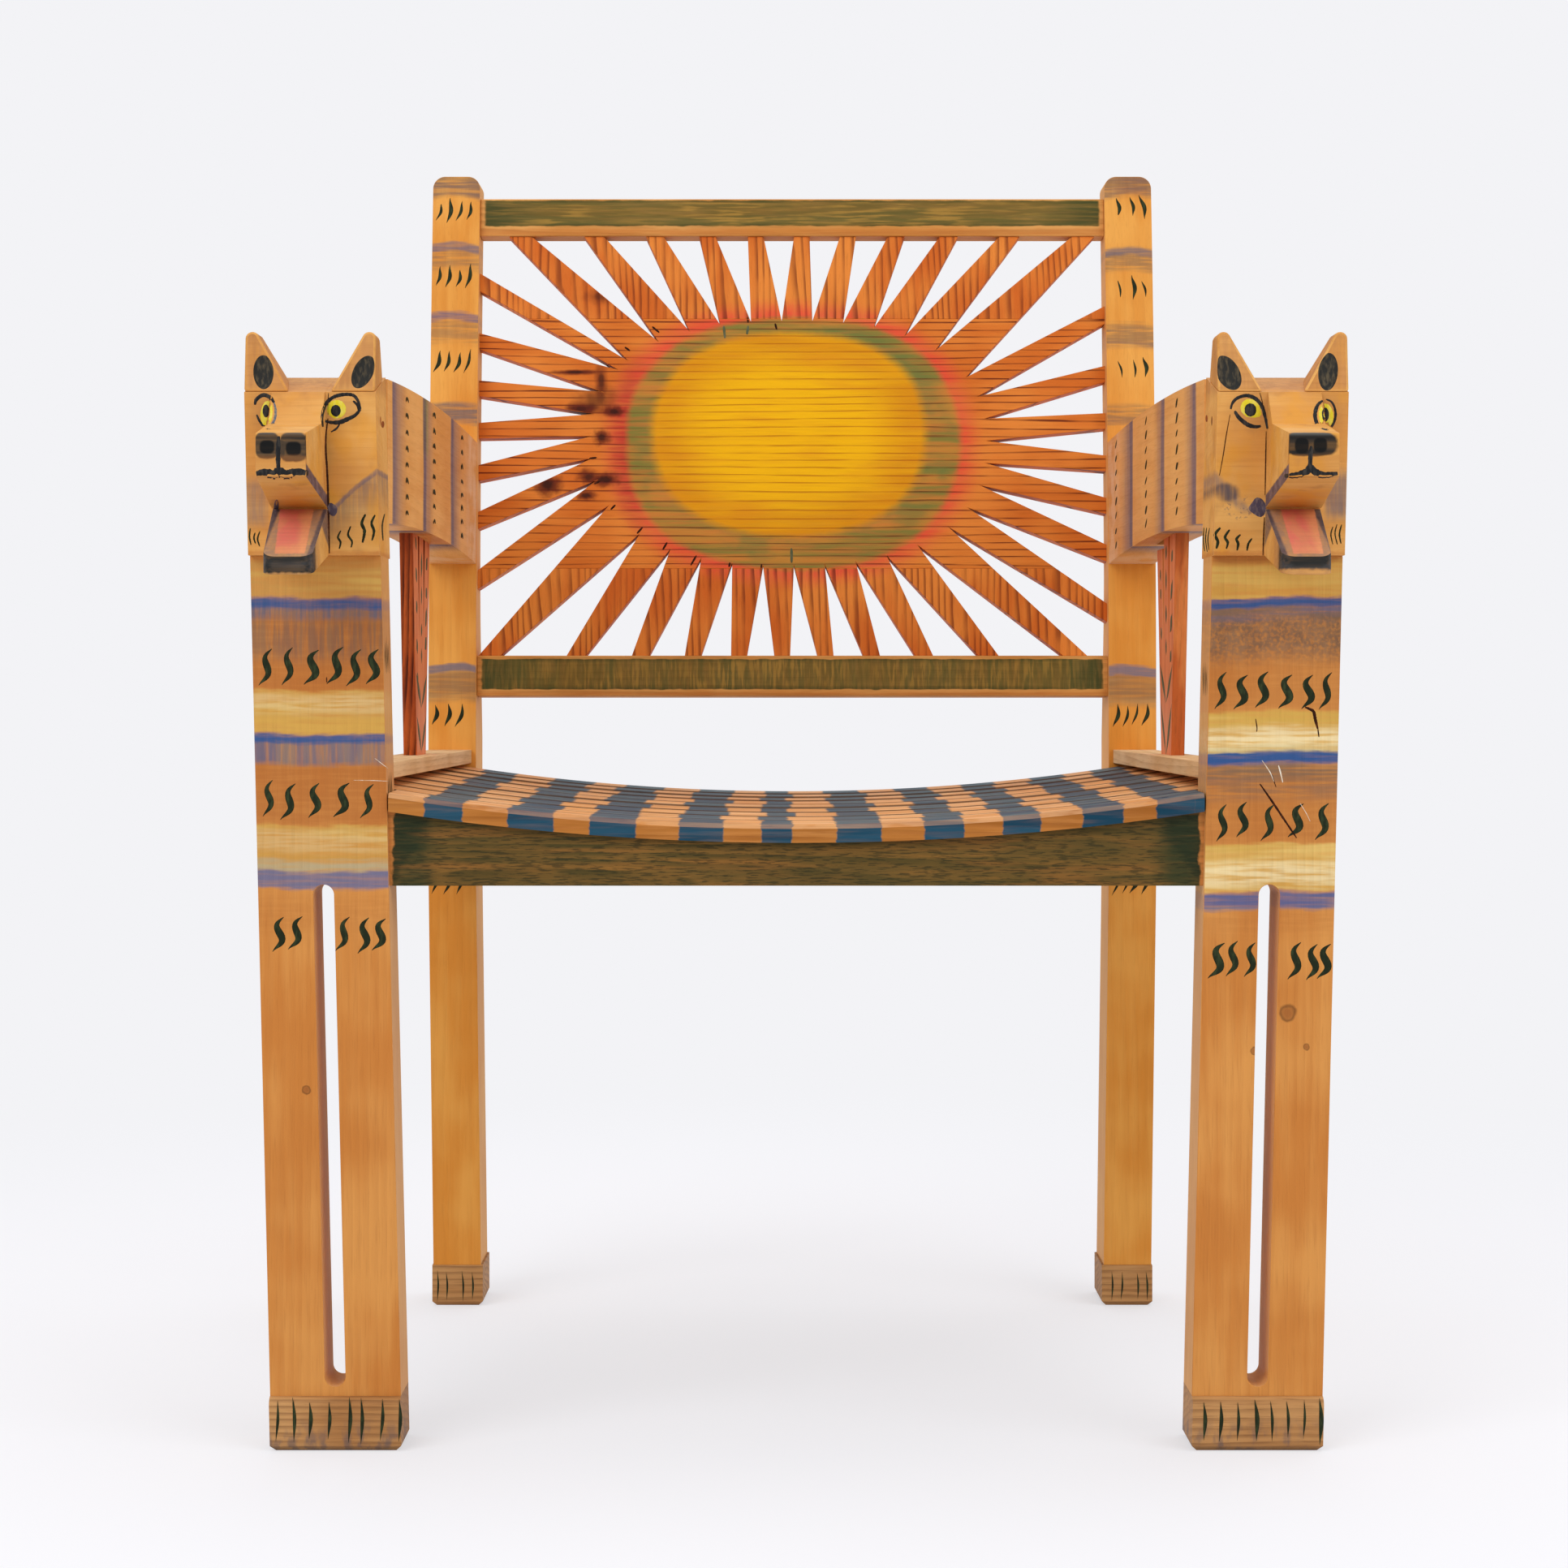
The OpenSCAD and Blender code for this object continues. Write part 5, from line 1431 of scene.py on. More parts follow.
@dataclass
class Seat:
    """The slatted seat with its aprons, rails and bearer."""

    slats: int = 9
    slat_width: float = 47.84
    slat_gap: float = 4.8
    slat_arris: float = 1.4
    shaved: float = 0.2
    sunk: tuple[float, float] = (0.0, 0.6)
    tilts: tuple[float, float] = (-0.004, 0.012)
    thickness: float = 12.0
    front_height: float = 410.5
    rise: float = math.tan(math.radians(0.85))
    hollow: float = 1750.0
    overhang: float = 2.0
    bearing: float = 24.0
    front_half: float = 271.0
    narrowing: float = 11.0
    leg_thickness: float = 40.0
    leg_gap: float = 427.0
    stain_reach: float = 265.5
    check_edges: tuple[float, ...] = (
        -244.7, -219.1, -189.8, -159.7, -136.0, -105.6, -77.4, -48.1, -22.8, -2.8, 26.3, 55.8,
        84.0, 110.1, 135.4, 160.7, 187.9, 214.6, 236.4, 262.0)
    blue: Colour = paint(14, 60, 82)
    grey_blue: Colour = paint(80, 108, 118)

    @property
    def pitch(self) -> float:
        """Distance from slat to slat."""
        return self.slat_width + self.slat_gap

    def half_length(self, index: int) -> float:
        """Gives half the length of a slat, by its number from the front."""
        depth = (index + 0.5) * self.pitch
        narrower = self.narrowing * (depth - self.leg_thickness) / self.leg_gap
        return self.front_half - narrower + self.bearing

    def build(self) -> None:
        """Makes the slats and what carries them."""
        checks = self.check_material()
        worn_copy("seat_slat_1", "seat_checks", 0.9, checks)
        tree = slat_tree()
        chance = Random(5)
        for index in range(1, self.slats):
            depth = index * self.pitch + self.slat_width / 2 - self.overhang
            name = f"painted_slat_{index + 1}"
            piece = link(bpy.data.objects.new(name, bpy.data.meshes.new(name)))
            top = self.front_height + (depth + self.overhang) * self.rise
            apply_tree(piece, tree, {
                "Half Length": self.half_length(index), "Width": self.slat_width - self.shaved,
                "Thickness": self.thickness, "Arris": self.slat_arris, "Depth": depth,
                "Top Height": top - chance.uniform(*self.sunk),
                "Tilt": chance.uniform(*self.tilts), "Hollow Radius": self.hollow,
                "Material": checks})
            for face in piece.data.polygons:
                face.use_smooth = False
            hand_over(piece, "seat_checks", [f"seat_slat_{index + 1}"])
        self.aprons()
        self.rails()

    def check_material(self) -> bpy.types.Material:
        """Makes the painted checks, which step a little from slat to slat, with painted shade at
        the gaps between slats.

        Returns:
            The material.
        """
        board = Board(Sketch("seat_checks"), SLAT_WOOD, 3.0)
        sketch = board.sketch
        count = (sketch.depth + self.overhang) / self.pitch
        stagger = (count.math("FLOOR") * 2.4 + sketch.x * 0.02).math("SINE") * 3.2
        stagger = stagger * sketch.depth.step(30.0, 60.0)
        ragged = sketch.sway(8.0, 3.0, (0.2, 1.0, 1.0), 3.0, 9.0)
        top = sketch.facing(2).step(0.5, 0.9)
        across = sketch.x + stagger + ragged * (top * 0.6 + 0.4)
        mask = across.step(260.0, 262.0) * sketch.depth.step(50.0, 51.0).inverse()
        for low, high in zip(self.check_edges[::2], self.check_edges[1::2]):
            mask = mask.either(across.between(low, high, 0.7))
        front = sketch.front()
        bare, edge = mask.inverse(), top.inverse()
        board.lay(bare * top, paint(250, 200, 148), 0.75, 0.35, second=paint(230, 162, 96))
        # The orange checks' front and side faces are darker than their tops: partly a darker
        # orange, partly painted shade on the slats' fronts.
        board.lay(bare * edge, paint(158, 94, 30), 0.9, 0.25, second=paint(176, 110, 44))
        board.lay(mask * edge, self.blue, 1.0, 0.08, second=paint(34, 76, 98))
        board.lay(mask * top, self.grey_blue, 1.0, 0.14, second=paint(34, 76, 100))
        grime = sketch.noise(8.0, (0.05, 1.0, 1.0), 3.0, 21.0).step(0.54, 0.7) * top
        grime = grime * (bare * 0.75 + 0.25)
        board.tint(grime * 0.35, paint(88, 50, 30))
        worn = top * front * sketch.noise(7.0, (0.4, 1.0, 1.0), 2.0, 27.0).step(0.3, 0.5)
        board.tint(worn * (bare * 0.25 + 0.08), paint(236, 200, 160))
        back = count.math("FRACT")
        # A dark line along each slat's rear edge: painted shade at the gap behind it.
        seam_shade = back.step(0.87, 0.91) * top
        board.tint(seam_shade * 0.9, paint(36, 24, 20))
        # Front faces of the slats behind the first are darkened: painted shade in the gaps between
        # slats.
        gap_shade = back.step(0.3, 0.2).either(back.step(0.94, 0.97))
        gap_shade = gap_shade * front * sketch.depth.step(20.0, 40.0)
        board.tint(gap_shade * 0.8, paint(40, 26, 20))
        return board.done(0.2)

    def aprons(self) -> None:
        """Makes the stained front apron and the raw one behind."""
        board = Board(Sketch("front_apron"), APRON_WOOD, 2.0)
        sketch = board.sketch
        ragged = sketch.sway(5.0, 6.0, EVEN, 3.0, 3.0)
        inner = abs(sketch.x) + ragged
        stain = inner.step(self.stain_reach + 1.0, self.stain_reach - 1.0)
        uneven = sketch.noise(40.0, (0.3, 1.0, 1.0), 2.0, 19.0).step(0.3, 0.7)
        board.lay(uneven * stain, paint(66, 66, 30), 0.62, 0.55, second=paint(110, 78, 34))
        board.lay(stain, paint(96, 74, 32), 0.45, 0.5, second=paint(72, 70, 34))
        board.lay(inner.between(240.0, self.stain_reach, 10.0), paint(40, 52, 28), 0.8, 0.3)
        corner = (inner - 240.0) * (inner - 240.0) * 0.04 + sketch.height + ragged
        corner = corner.step(392.0, 402.0) * inner.step(236.0, 250.0)
        board.lay(corner * stain, paint(34, 44, 24), 0.85)
        # A patchy darker band at the apron's top: painted shadow under the front slat.
        upper = sketch.height.step(402.0, 410.0)
        board.lay(uneven.inverse() * stain * upper, paint(44, 52, 28), 0.5)
        warm = sketch.noise(7.0, (0.07, 1.0, 1.0), 2.0, 37.0).step(0.5, 0.68) * stain
        board.tint(warm * 0.4, paint(150, 96, 42))
        pores = sketch.noise(1.0, (0.11, 1.0, 1.0), 3.0, 51.0).step(0.5, 0.62) * stain
        board.tint(pores * 0.6, paint(30, 36, 18))
        board.lay(stain.inverse(), paint(206, 132, 66), 0.9, 0.3)
        worn_copy("front_apron", "apron_green", 1.2, board.done(),
                  timber_material("apron_arris", APRON_WOOD, 8.0))
        raw = timber_material("raw_pine_across", RAW_ACROSS, 1.0)
        worn_copy("rear_apron", "pale_wood", 1.0, raw)

    def rails(self) -> None:
        """Makes the raw side rails and the bearer."""
        raw = timber_material("raw_pine_depth", RAW_DEPTH, 4.0)
        for node in ("lower_side_rail_left", "lower_side_rail_right", "upper_side_rail_left",
                     "upper_side_rail_right", "seat_bearer"):
            worn_copy(node, "pale_wood", 0.7, raw)


@dataclass
class SunBack:
    """The sunburst between its two stained rails."""

    burns: tuple[tuple[Point, float, float, float], ...] = (
        ((-177.0, 759.5), 12.0, 1.6, 0.9), ((-156.5, 752.0), 3.6, 11.0, 0.7),
        ((-172.5, 729.3), 10.0, 3.4, 0.95), ((-146.0, 727.0), 7.0, 3.4, 0.9),
        ((-161.0, 736.0), 13.0, 9.0, 0.5), ((-155.9, 705.8), 5.0, 4.6, 0.85),
        ((-200.0, 666.7), 8.2, 6.6, 0.9), ((-166.5, 673.0), 6.4, 4.6, 0.8),
        ((-153.0, 671.0), 9.0, 4.0, 0.9), ((-168.5, 657.8), 5.6, 3.0, 0.85),
        ((-157.0, 822.0), 9.0, 5.0, 0.5))
    tips: tuple[tuple[Point, Point], ...] = (
        ((-144.8, 650.4), (-148.6, 646.6)), ((-122.6, 632.0), (-127.0, 627.0)),
        ((-102.4, 619.8), (-106.0, 613.6)), ((-78.4, 609.0), (-83.0, 601.0)),
        ((-51.0, 603.2), (-51.6, 599.6)), ((-25.0, 602.0), (-25.4, 598.6)),
        ((-149.4, 763.0), (-158.0, 767.0)), ((-108.8, 791.6), (-114.6, 796.4)),
        ((-132.8, 776.6), (-137.0, 779.6)), ((-36.0, 799.6), (-36.6, 804.0)),
        ((-12.6, 794.0), (-14.0, 799.0)), ((-160.0, 689.2), (-166.0, 688.4)),
        ((-157.6, 669.8), (-162.0, 667.6)))
    drips: tuple[tuple[Point, Point], ...] = (
        ((-0.6, 615.0), (-0.4, 603.0)), ((-56.0, 797.0), (-55.0, 787.0)),
        ((-36.0, 797.0), (-37.0, 790.0)))
    halo: tuple[Point, float, float, float] = ((-1.0, 701.0), 152.0, 117.0, 2.3)
    ring: tuple[Point, float, float, float] = ((0.5, 701.0), 136.0, 104.0, 2.3)
    heart: tuple[Point, float, float, float] = ((-2.4, 708.4), 112.0, 84.0, 2.3)
    face_depth: float = 492.0
    bottom_stain: tuple[float, float] = (499.5, 524.0)
    top_stain: tuple[float, float] = (880.5, 901.5)
    stain_reach: float = 252.0

    def build(self) -> list[bpy.types.Object]:
        """Makes the three sun boards and both rails.

        Returns:
            The sun boards.
        """
        boards = []
        for node, timber, shift, burnt in (("sun_centre_board", SUN_ACROSS, 2.0, True),
                                           ("sun_upper_rays", SUN_UPRIGHT, 6.0, True),
                                           ("sun_lower_rays", SUN_UPRIGHT, 9.0, False)):
            main = self.sun_material(node, timber, shift, burnt)
            edge = timber_material(node + "_arris", timber, shift)
            boards.append(worn_copy(node, "sun_wood", 0.45, main, edge))
        self.rail("back_bottom_rail", self.bottom_stain, Grain.UPRIGHT, 1.0)
        self.rail("back_top_rail", self.top_stain, Grain.ACROSS, 5.0)
        return boards

    def draw(self, drawing: Drawing) -> None:
        """Draws the burnt tips of the notches and the green drips.

        Args:
            drawing: The drawing on the chair.
        """
        for brush, width, marks in ((Paint.CRACK, 1.5, self.tips), (Paint.LEAF, 2.0, self.drips)):
            for line in marks:
                drawing.line("sun_marks", Stroke(brush, width, line, self.face_depth))

    def sun_material(self, name: str, timber: Timber, shift: float,
                     burnt: bool) -> bpy.types.Material:
        """Makes the timber of a sun board with its share of the painted sun.

        Args:
            name: Name of the material.
            timber: The board's timber.
            shift: Moves the figure.
            burnt: Whether the board has its share of the burnt spots.

        Returns:
            The material.
        """
        board = Board(Sketch(name, 0.5), timber, shift)
        sketch = board.sketch
        loose = (sketch.sway(0.05, 60.0, EVEN, 1.0, 41.0)
                 + sketch.sway(0.03, 3.0, (0.4, 1.0, 1.0), 2.0, 43.0))
        red = sketch.oval(*self.halo) + loose
        ring = sketch.oval(*self.ring) + loose
        heart = sketch.oval(*self.heart) + loose
        brush = timber.grain
        seen = (sketch.facing(1) * -1.0).step(-0.5, 0.1)
        halo = red.step(1.05, 0.9) * seen
        board.lay(halo, paint(232, 70, 56), 0.86, 0.35, brush, paint(228, 98, 62))
        board.lay(halo * sketch.x.step(-112.0, -140.0), paint(160, 40, 34), 0.6, 0.5, brush)
        board.lay(ring.step(1.03, 0.97) * seen, paint(112, 128, 54), 0.88, 0.3, brush,
                  paint(186, 136, 52))
        leafy = sketch.noise(30.0, (0.6, 1.0, 1.0), 3.0, 57.0).step(0.44, 0.6)
        board.lay(ring.step(1.0, 0.9) * leafy * seen, paint(98, 118, 60), 0.55, 0.3, brush)
        board.lay(heart.step(1.05, 0.95) * seen, paint(232, 160, 0), 0.95, 0.1, brush,
                  paint(222, 146, 0))
        board.lay(heart.step(0.95, 0.5) * seen, paint(250, 192, 0), 0.8, 0.2, brush)
        glow = sketch.noise(26.0, (0.2, 1.0, 1.0), 2.0, 47.0).step(0.56, 0.74)
        board.tint(glow * heart.step(1.0, 0.8) * seen * 0.45, paint(214, 122, 24))
        if timber is SUN_ACROSS:
            board.tint(board.rings * heart.step(1.0, 0.96) * 0.6, paint(168, 84, 6))
        painted = halo * heart.step(0.96, 1.0)
        board.tint(board.rings * painted * 0.75, paint(92, 40, 14))
        if burnt:
            for middle, half_width, half_height, cover in self.burns:
                for grow, colour, share in ((1.3, paint(96, 28, 12), 1.0),
                                            (0.6, paint(40, 14, 8), 0.9)):
                    board.smudge(middle, half_width * grow, half_height * grow, colour,
                                 cover * share)
        return board.done(0.2)

    def rail(self, node: str, stain: tuple[float, float], figure: Grain, shift: float) -> None:
        """Makes a rail with a stained panel on its face.

        Args:
            node: Name of the CAD node.
            stain: Heights of the stain's edges.
            figure: The direction of the ripple that shows through the stain.
            shift: Moves the timber's figure.
        """
        board = Board(Sketch(node), RAIL_WOOD, shift)
        sketch = board.sketch
        ragged = sketch.sway(2.4, 5.0, (0.4, 1.0, 1.0), 2.0, 3.0)
        front = sketch.front()
        panel = (sketch.height + ragged).between(*stain, 0.6) * front
        inner = (abs(sketch.x) + ragged).step(self.stain_reach + 1.5, self.stain_reach - 1.0)
        panel = panel * inner
        ripple = sketch.noise(2.6, figure.stretch, 3.0, 7.0 + shift).step(0.46, 0.6)
        patch = sketch.noise(36.0, EVEN, 2.0, 17.0 + shift).step(0.35, 0.65)
        board.lay(panel, paint(90, 88, 40), 0.92, 0.15, figure, paint(106, 90, 38))
        board.tint(panel * ripple * (patch * 0.4 + 0.1), paint(190, 144, 62))
        ends = abs(sketch.x).step(196.0, 252.0)
        edges = (abs(sketch.height - sum(stain) / 2) / (stain[1] - stain[0]) * 2.0).step(0.7, 1.0)
        board.lay(panel * ends.either(edges * 0.8), paint(44, 60, 28), 0.75, 0.3, figure)
        board.lay((sketch.height + ragged).step(stain[0] - 1.0, stain[0] - 4.0) * front,
                  paint(196, 118, 52), 0.7, 0.4)
        worn_copy(node, "rail_green", 1.0, board.done(),
                  timber_material(node + "_arris", RAIL_WOOD, shift))


@dataclass
class Arms:
    """The arms with their soft bands and ticks, and the splats under them."""

    marks: MarkSet
    leaves: MarkSet
    bands: dict[Side, tuple[tuple[float, float], ...]] = per_side(
        ((68, 134), (200, 258), (334, 398)),
        ((78, 132), (206, 256), (350, 420)))
    columns: dict[Side, tuple[float, ...]] = per_side((131.0, 254.0, 396.0), (155.0, 288.0, 434.0))
    limbs: dict[Side, tuple[tuple[float, float, float, float], ...]] = per_side(
        ((-7.5, 0.0, -58.0, 6.8), (0.0, 0.0, 79.0, 15.0), (7.5, 0.0, -58.0, 6.8)),
        ((1.5, 0.0, -63.0, 15.0), (-7.0, -2.6, 62.0, 7.5)))
    crest_depth: float = 187.0
    top_height: float = 710.3
    top_bend: float = 8340.0
    under_height: float = 614.0
    under_bend: float = 6300.0
    front_inner: float = 274.5
    narrowing: float = 17.5
    front_end: float = 47.0
    length: float = 420.0
    thickness: float = 37.0
    tick_margins: tuple[float, float] = (8.0, 6.0)
    tick_steps: tuple[float, float] = (10.2, 12.0)
    tick_brush: dict[Side, Brush] = per_side(Brush(10.0, 3.5, 0.3, 0.5), Brush(10.0, 4.1, 0.3, 0.5))
    leaf_brush: Brush = Brush(10.0, 8.0, 0.6, 0.6)
    dash_length: float = 7.5
    vein_margin: float = 3.0
    fan_angle: float = 60.0
    splat_face: float = 279.0
    splat_depth: float = 281.0
    splat_bottom: float = 450.5
    splat_height: float = 163.5
    splat_low_half: float = 28.5
    splat_spread: float = 26.0
    veins: dict[Side, tuple[tuple[float, float], ...]] = per_side(
        ((511.0, 485.6), (479.0, 452.8)),
        ((518.0, 489.0), (489.0, 449.5)))
    leaf_columns: dict[Side, tuple[tuple[float, tuple[tuple[float, float], ...]], ...]] = per_side(
        ((-0.66, ((606.9, 10), (583.7, 10.5), (560, 9), (531, 10), (507, 8))),
         (0.0, ((592.5, 15), (569.4, 11), (543.6, 8), (524.5, 9))),
         (0.66, ((594.9, 10.5), (572.9, 8), (554, 14), (534.5, 11)))),
        ((-0.66, ((598, 9), (572.6, 14.7), (548.5, 14), (524, 9))),
         (0.0, ((602, 9), (581, 12.5), (555.5, 11), (531, 10))),
         (0.66, ((586, 8), (571.5, 7), (541.5, 8.5)))))

    def top(self, depth: float) -> float:
        """Gives the height of the arm's top at a depth."""
        return self.top_height - (depth - self.crest_depth) ** 2 / self.top_bend

    def under(self, depth: float) -> float:
        """Gives the height of the arm's underside at a depth."""
        return self.under_height - (depth - self.crest_depth) ** 2 / self.under_bend

    def inner(self, depth: float) -> float:
        """Gives the distance of the arm's inner face from the middle at a depth."""
        return self.front_inner - self.narrowing * (depth - self.front_end) / self.length

    def build(self) -> None:
        """Makes both arms, their ticks, both splats and their leaves."""
        for side in Side:
            edge = timber_material(f"arm_arris_{side.word}", ARM_WOOD, 80.0 + side.value)
            worn_copy(f"arm_{side.word}", "front_wood", 1.2, self.arm_material(side), edge)
            self.ticks(side)
            worn_copy(f"side_splat_{side.word}", "splat_wood", 0.6, self.splat_material(side))
            self.splat_leaves(side)

    def arm_material(self, side: Side) -> bpy.types.Material:
        """Makes an arm's timber with grey bands, dark in front and fading backwards.

        Args:
            side: The side of the chair.

        Returns:
            The material.
        """
        board = Board(Sketch(f"arm_{side.word}"), ARM_WOOD, 12.0 * side.value)
        sketch = board.sketch
        depth = sketch.depth + sketch.sway(8.0, 40.0, (1.0, 1.0, 0.5), 1.0, 4.0)
        for low, high in self.bands[side]:
            fading = depth.step(low - 3.0, low + 2.0) * depth.step(high, low)
            board.lay(fading, paint(124, 104, 112), 0.95, 0.2, Grain.UPRIGHT, paint(146, 118, 112))
            board.lay(depth.between(low, low + 12.0, 4.0), paint(98, 88, 110), 0.75, 0.25,
                      Grain.UPRIGHT, paint(120, 102, 114))
        if side is Side.LEFT:
            smear = depth.between(202.0, 222.0, 6.0) * sketch.height.step(664.0, 676.0)
            board.lay(smear, paint(84, 84, 76), 0.75, 0.5, Grain.UPRIGHT, paint(150, 140, 84))
        worn = sketch.noise(24.0, EVEN, 2.0, 8.0).step(0.42, 0.6)
        board.tint(depth.step(400.0, 440.0) * worn * 0.5, paint(240, 204, 166))
        return board.done()

    def ticks(self, side: Side) -> None:
        """Sets the columns of small ticks on both faces of an arm.

        Args:
            side: The side of the chair.
        """
        chance = Random(51 + side.value)
        outward = INWARD[Side.RIGHT if side is Side.LEFT else Side.LEFT]
        marks = []
        for depth in self.columns[side]:
            height = self.top(depth) - self.tick_margins[0]
            while height > self.under(depth) + self.tick_margins[1]:
                for x, turn, way in ((self.inner(depth), INWARD[side], -side.value),
                                     (self.inner(depth) + self.thickness, outward,
                                      side.value)):
                    for aside, above, angle, length in self.limbs[side]:
                        marks.append(Mark(
                            at(side.value * x, depth + aside * way + chance.uniform(-0.8, 0.8),
                               height + above + chance.uniform(-0.4, 0.4)),
                            leaning(turn, angle + chance.uniform(-8, 8)),
                            length / self.tick_brush[side].length * chance.uniform(0.75, 1.1),
                            chance.uniform(0.7, 1.25)))
                height -= chance.uniform(*self.tick_steps)
        self.marks.put(f"arm_ticks_{side.word}", "front_wood", marks, self.tick_brush[side])

    def splat_half(self, height: float) -> float:
        """Gives half the width of a splat at a height."""
        rise = height - self.splat_bottom
        return self.splat_low_half + self.splat_spread * rise / self.splat_height

    def splat_leaves(self, side: Side) -> None:
        """Sets the two V shapes and the dashes on the inner face of a splat.

        Args:
            side: The side of the chair.
        """
        chance = Random(71 + side.value)
        x = side.value * (self.splat_face + 0.02)
        marks = []
        for high, low in self.veins[side]:
            for way in (-1, 1):
                reach = way * (self.splat_half(high) - self.vein_margin)
                length = math.hypot(reach, high - low)
                angle = math.degrees(math.atan2(side.value * reach, high - low))
                marks.append(Mark(at(x, self.splat_depth + reach / 2, (high + low) / 2),
                                  leaning(INWARD[side], angle), length / self.leaf_brush.length,
                                  chance.uniform(0.9, 1.1)))
        for share, dashes in self.leaf_columns[side]:
            for height, length in dashes:
                angle = side.value * share * self.fan_angle + chance.uniform(-12, 12)
                marks.append(Mark(at(x, self.splat_depth + share * self.splat_half(height), height),
                                  leaning(INWARD[side], angle), length / self.dash_length,
                                  chance.uniform(0.9, 1.3)))
        self.leaves.put(f"splat_leaves_{side.word}", "splat_wood", marks, self.leaf_brush)

    def splat_material(self, side: Side) -> bpy.types.Material:
        """Makes a splat's timber with thin salmon paint on its inner face.

        Args:
            side: The side of the chair.

        Returns:
            The material.
        """
        board = Board(Sketch(f"side_splat_{side.word}"), SPLAT_WOOD, 14.0 * side.value)
        sketch = board.sketch
        inside = sketch.inside(side)
        board.lay(inside, paint(240, 146, 92), 1.0, 0.12, Grain.UPRIGHT, paint(226, 124, 72))
        lines = sketch.noise(3.4, Grain.UPRIGHT.stretch, 2.0, 61.0).step(0.55, 0.64) * inside
        board.tint(lines * 0.3, paint(170, 72, 40))
        if side is Side.RIGHT:
            board.lay(sketch.front(), paint(218, 130, 68), 0.92, 0.25, Grain.UPRIGHT,
                      paint(194, 98, 46))
        return board.done()


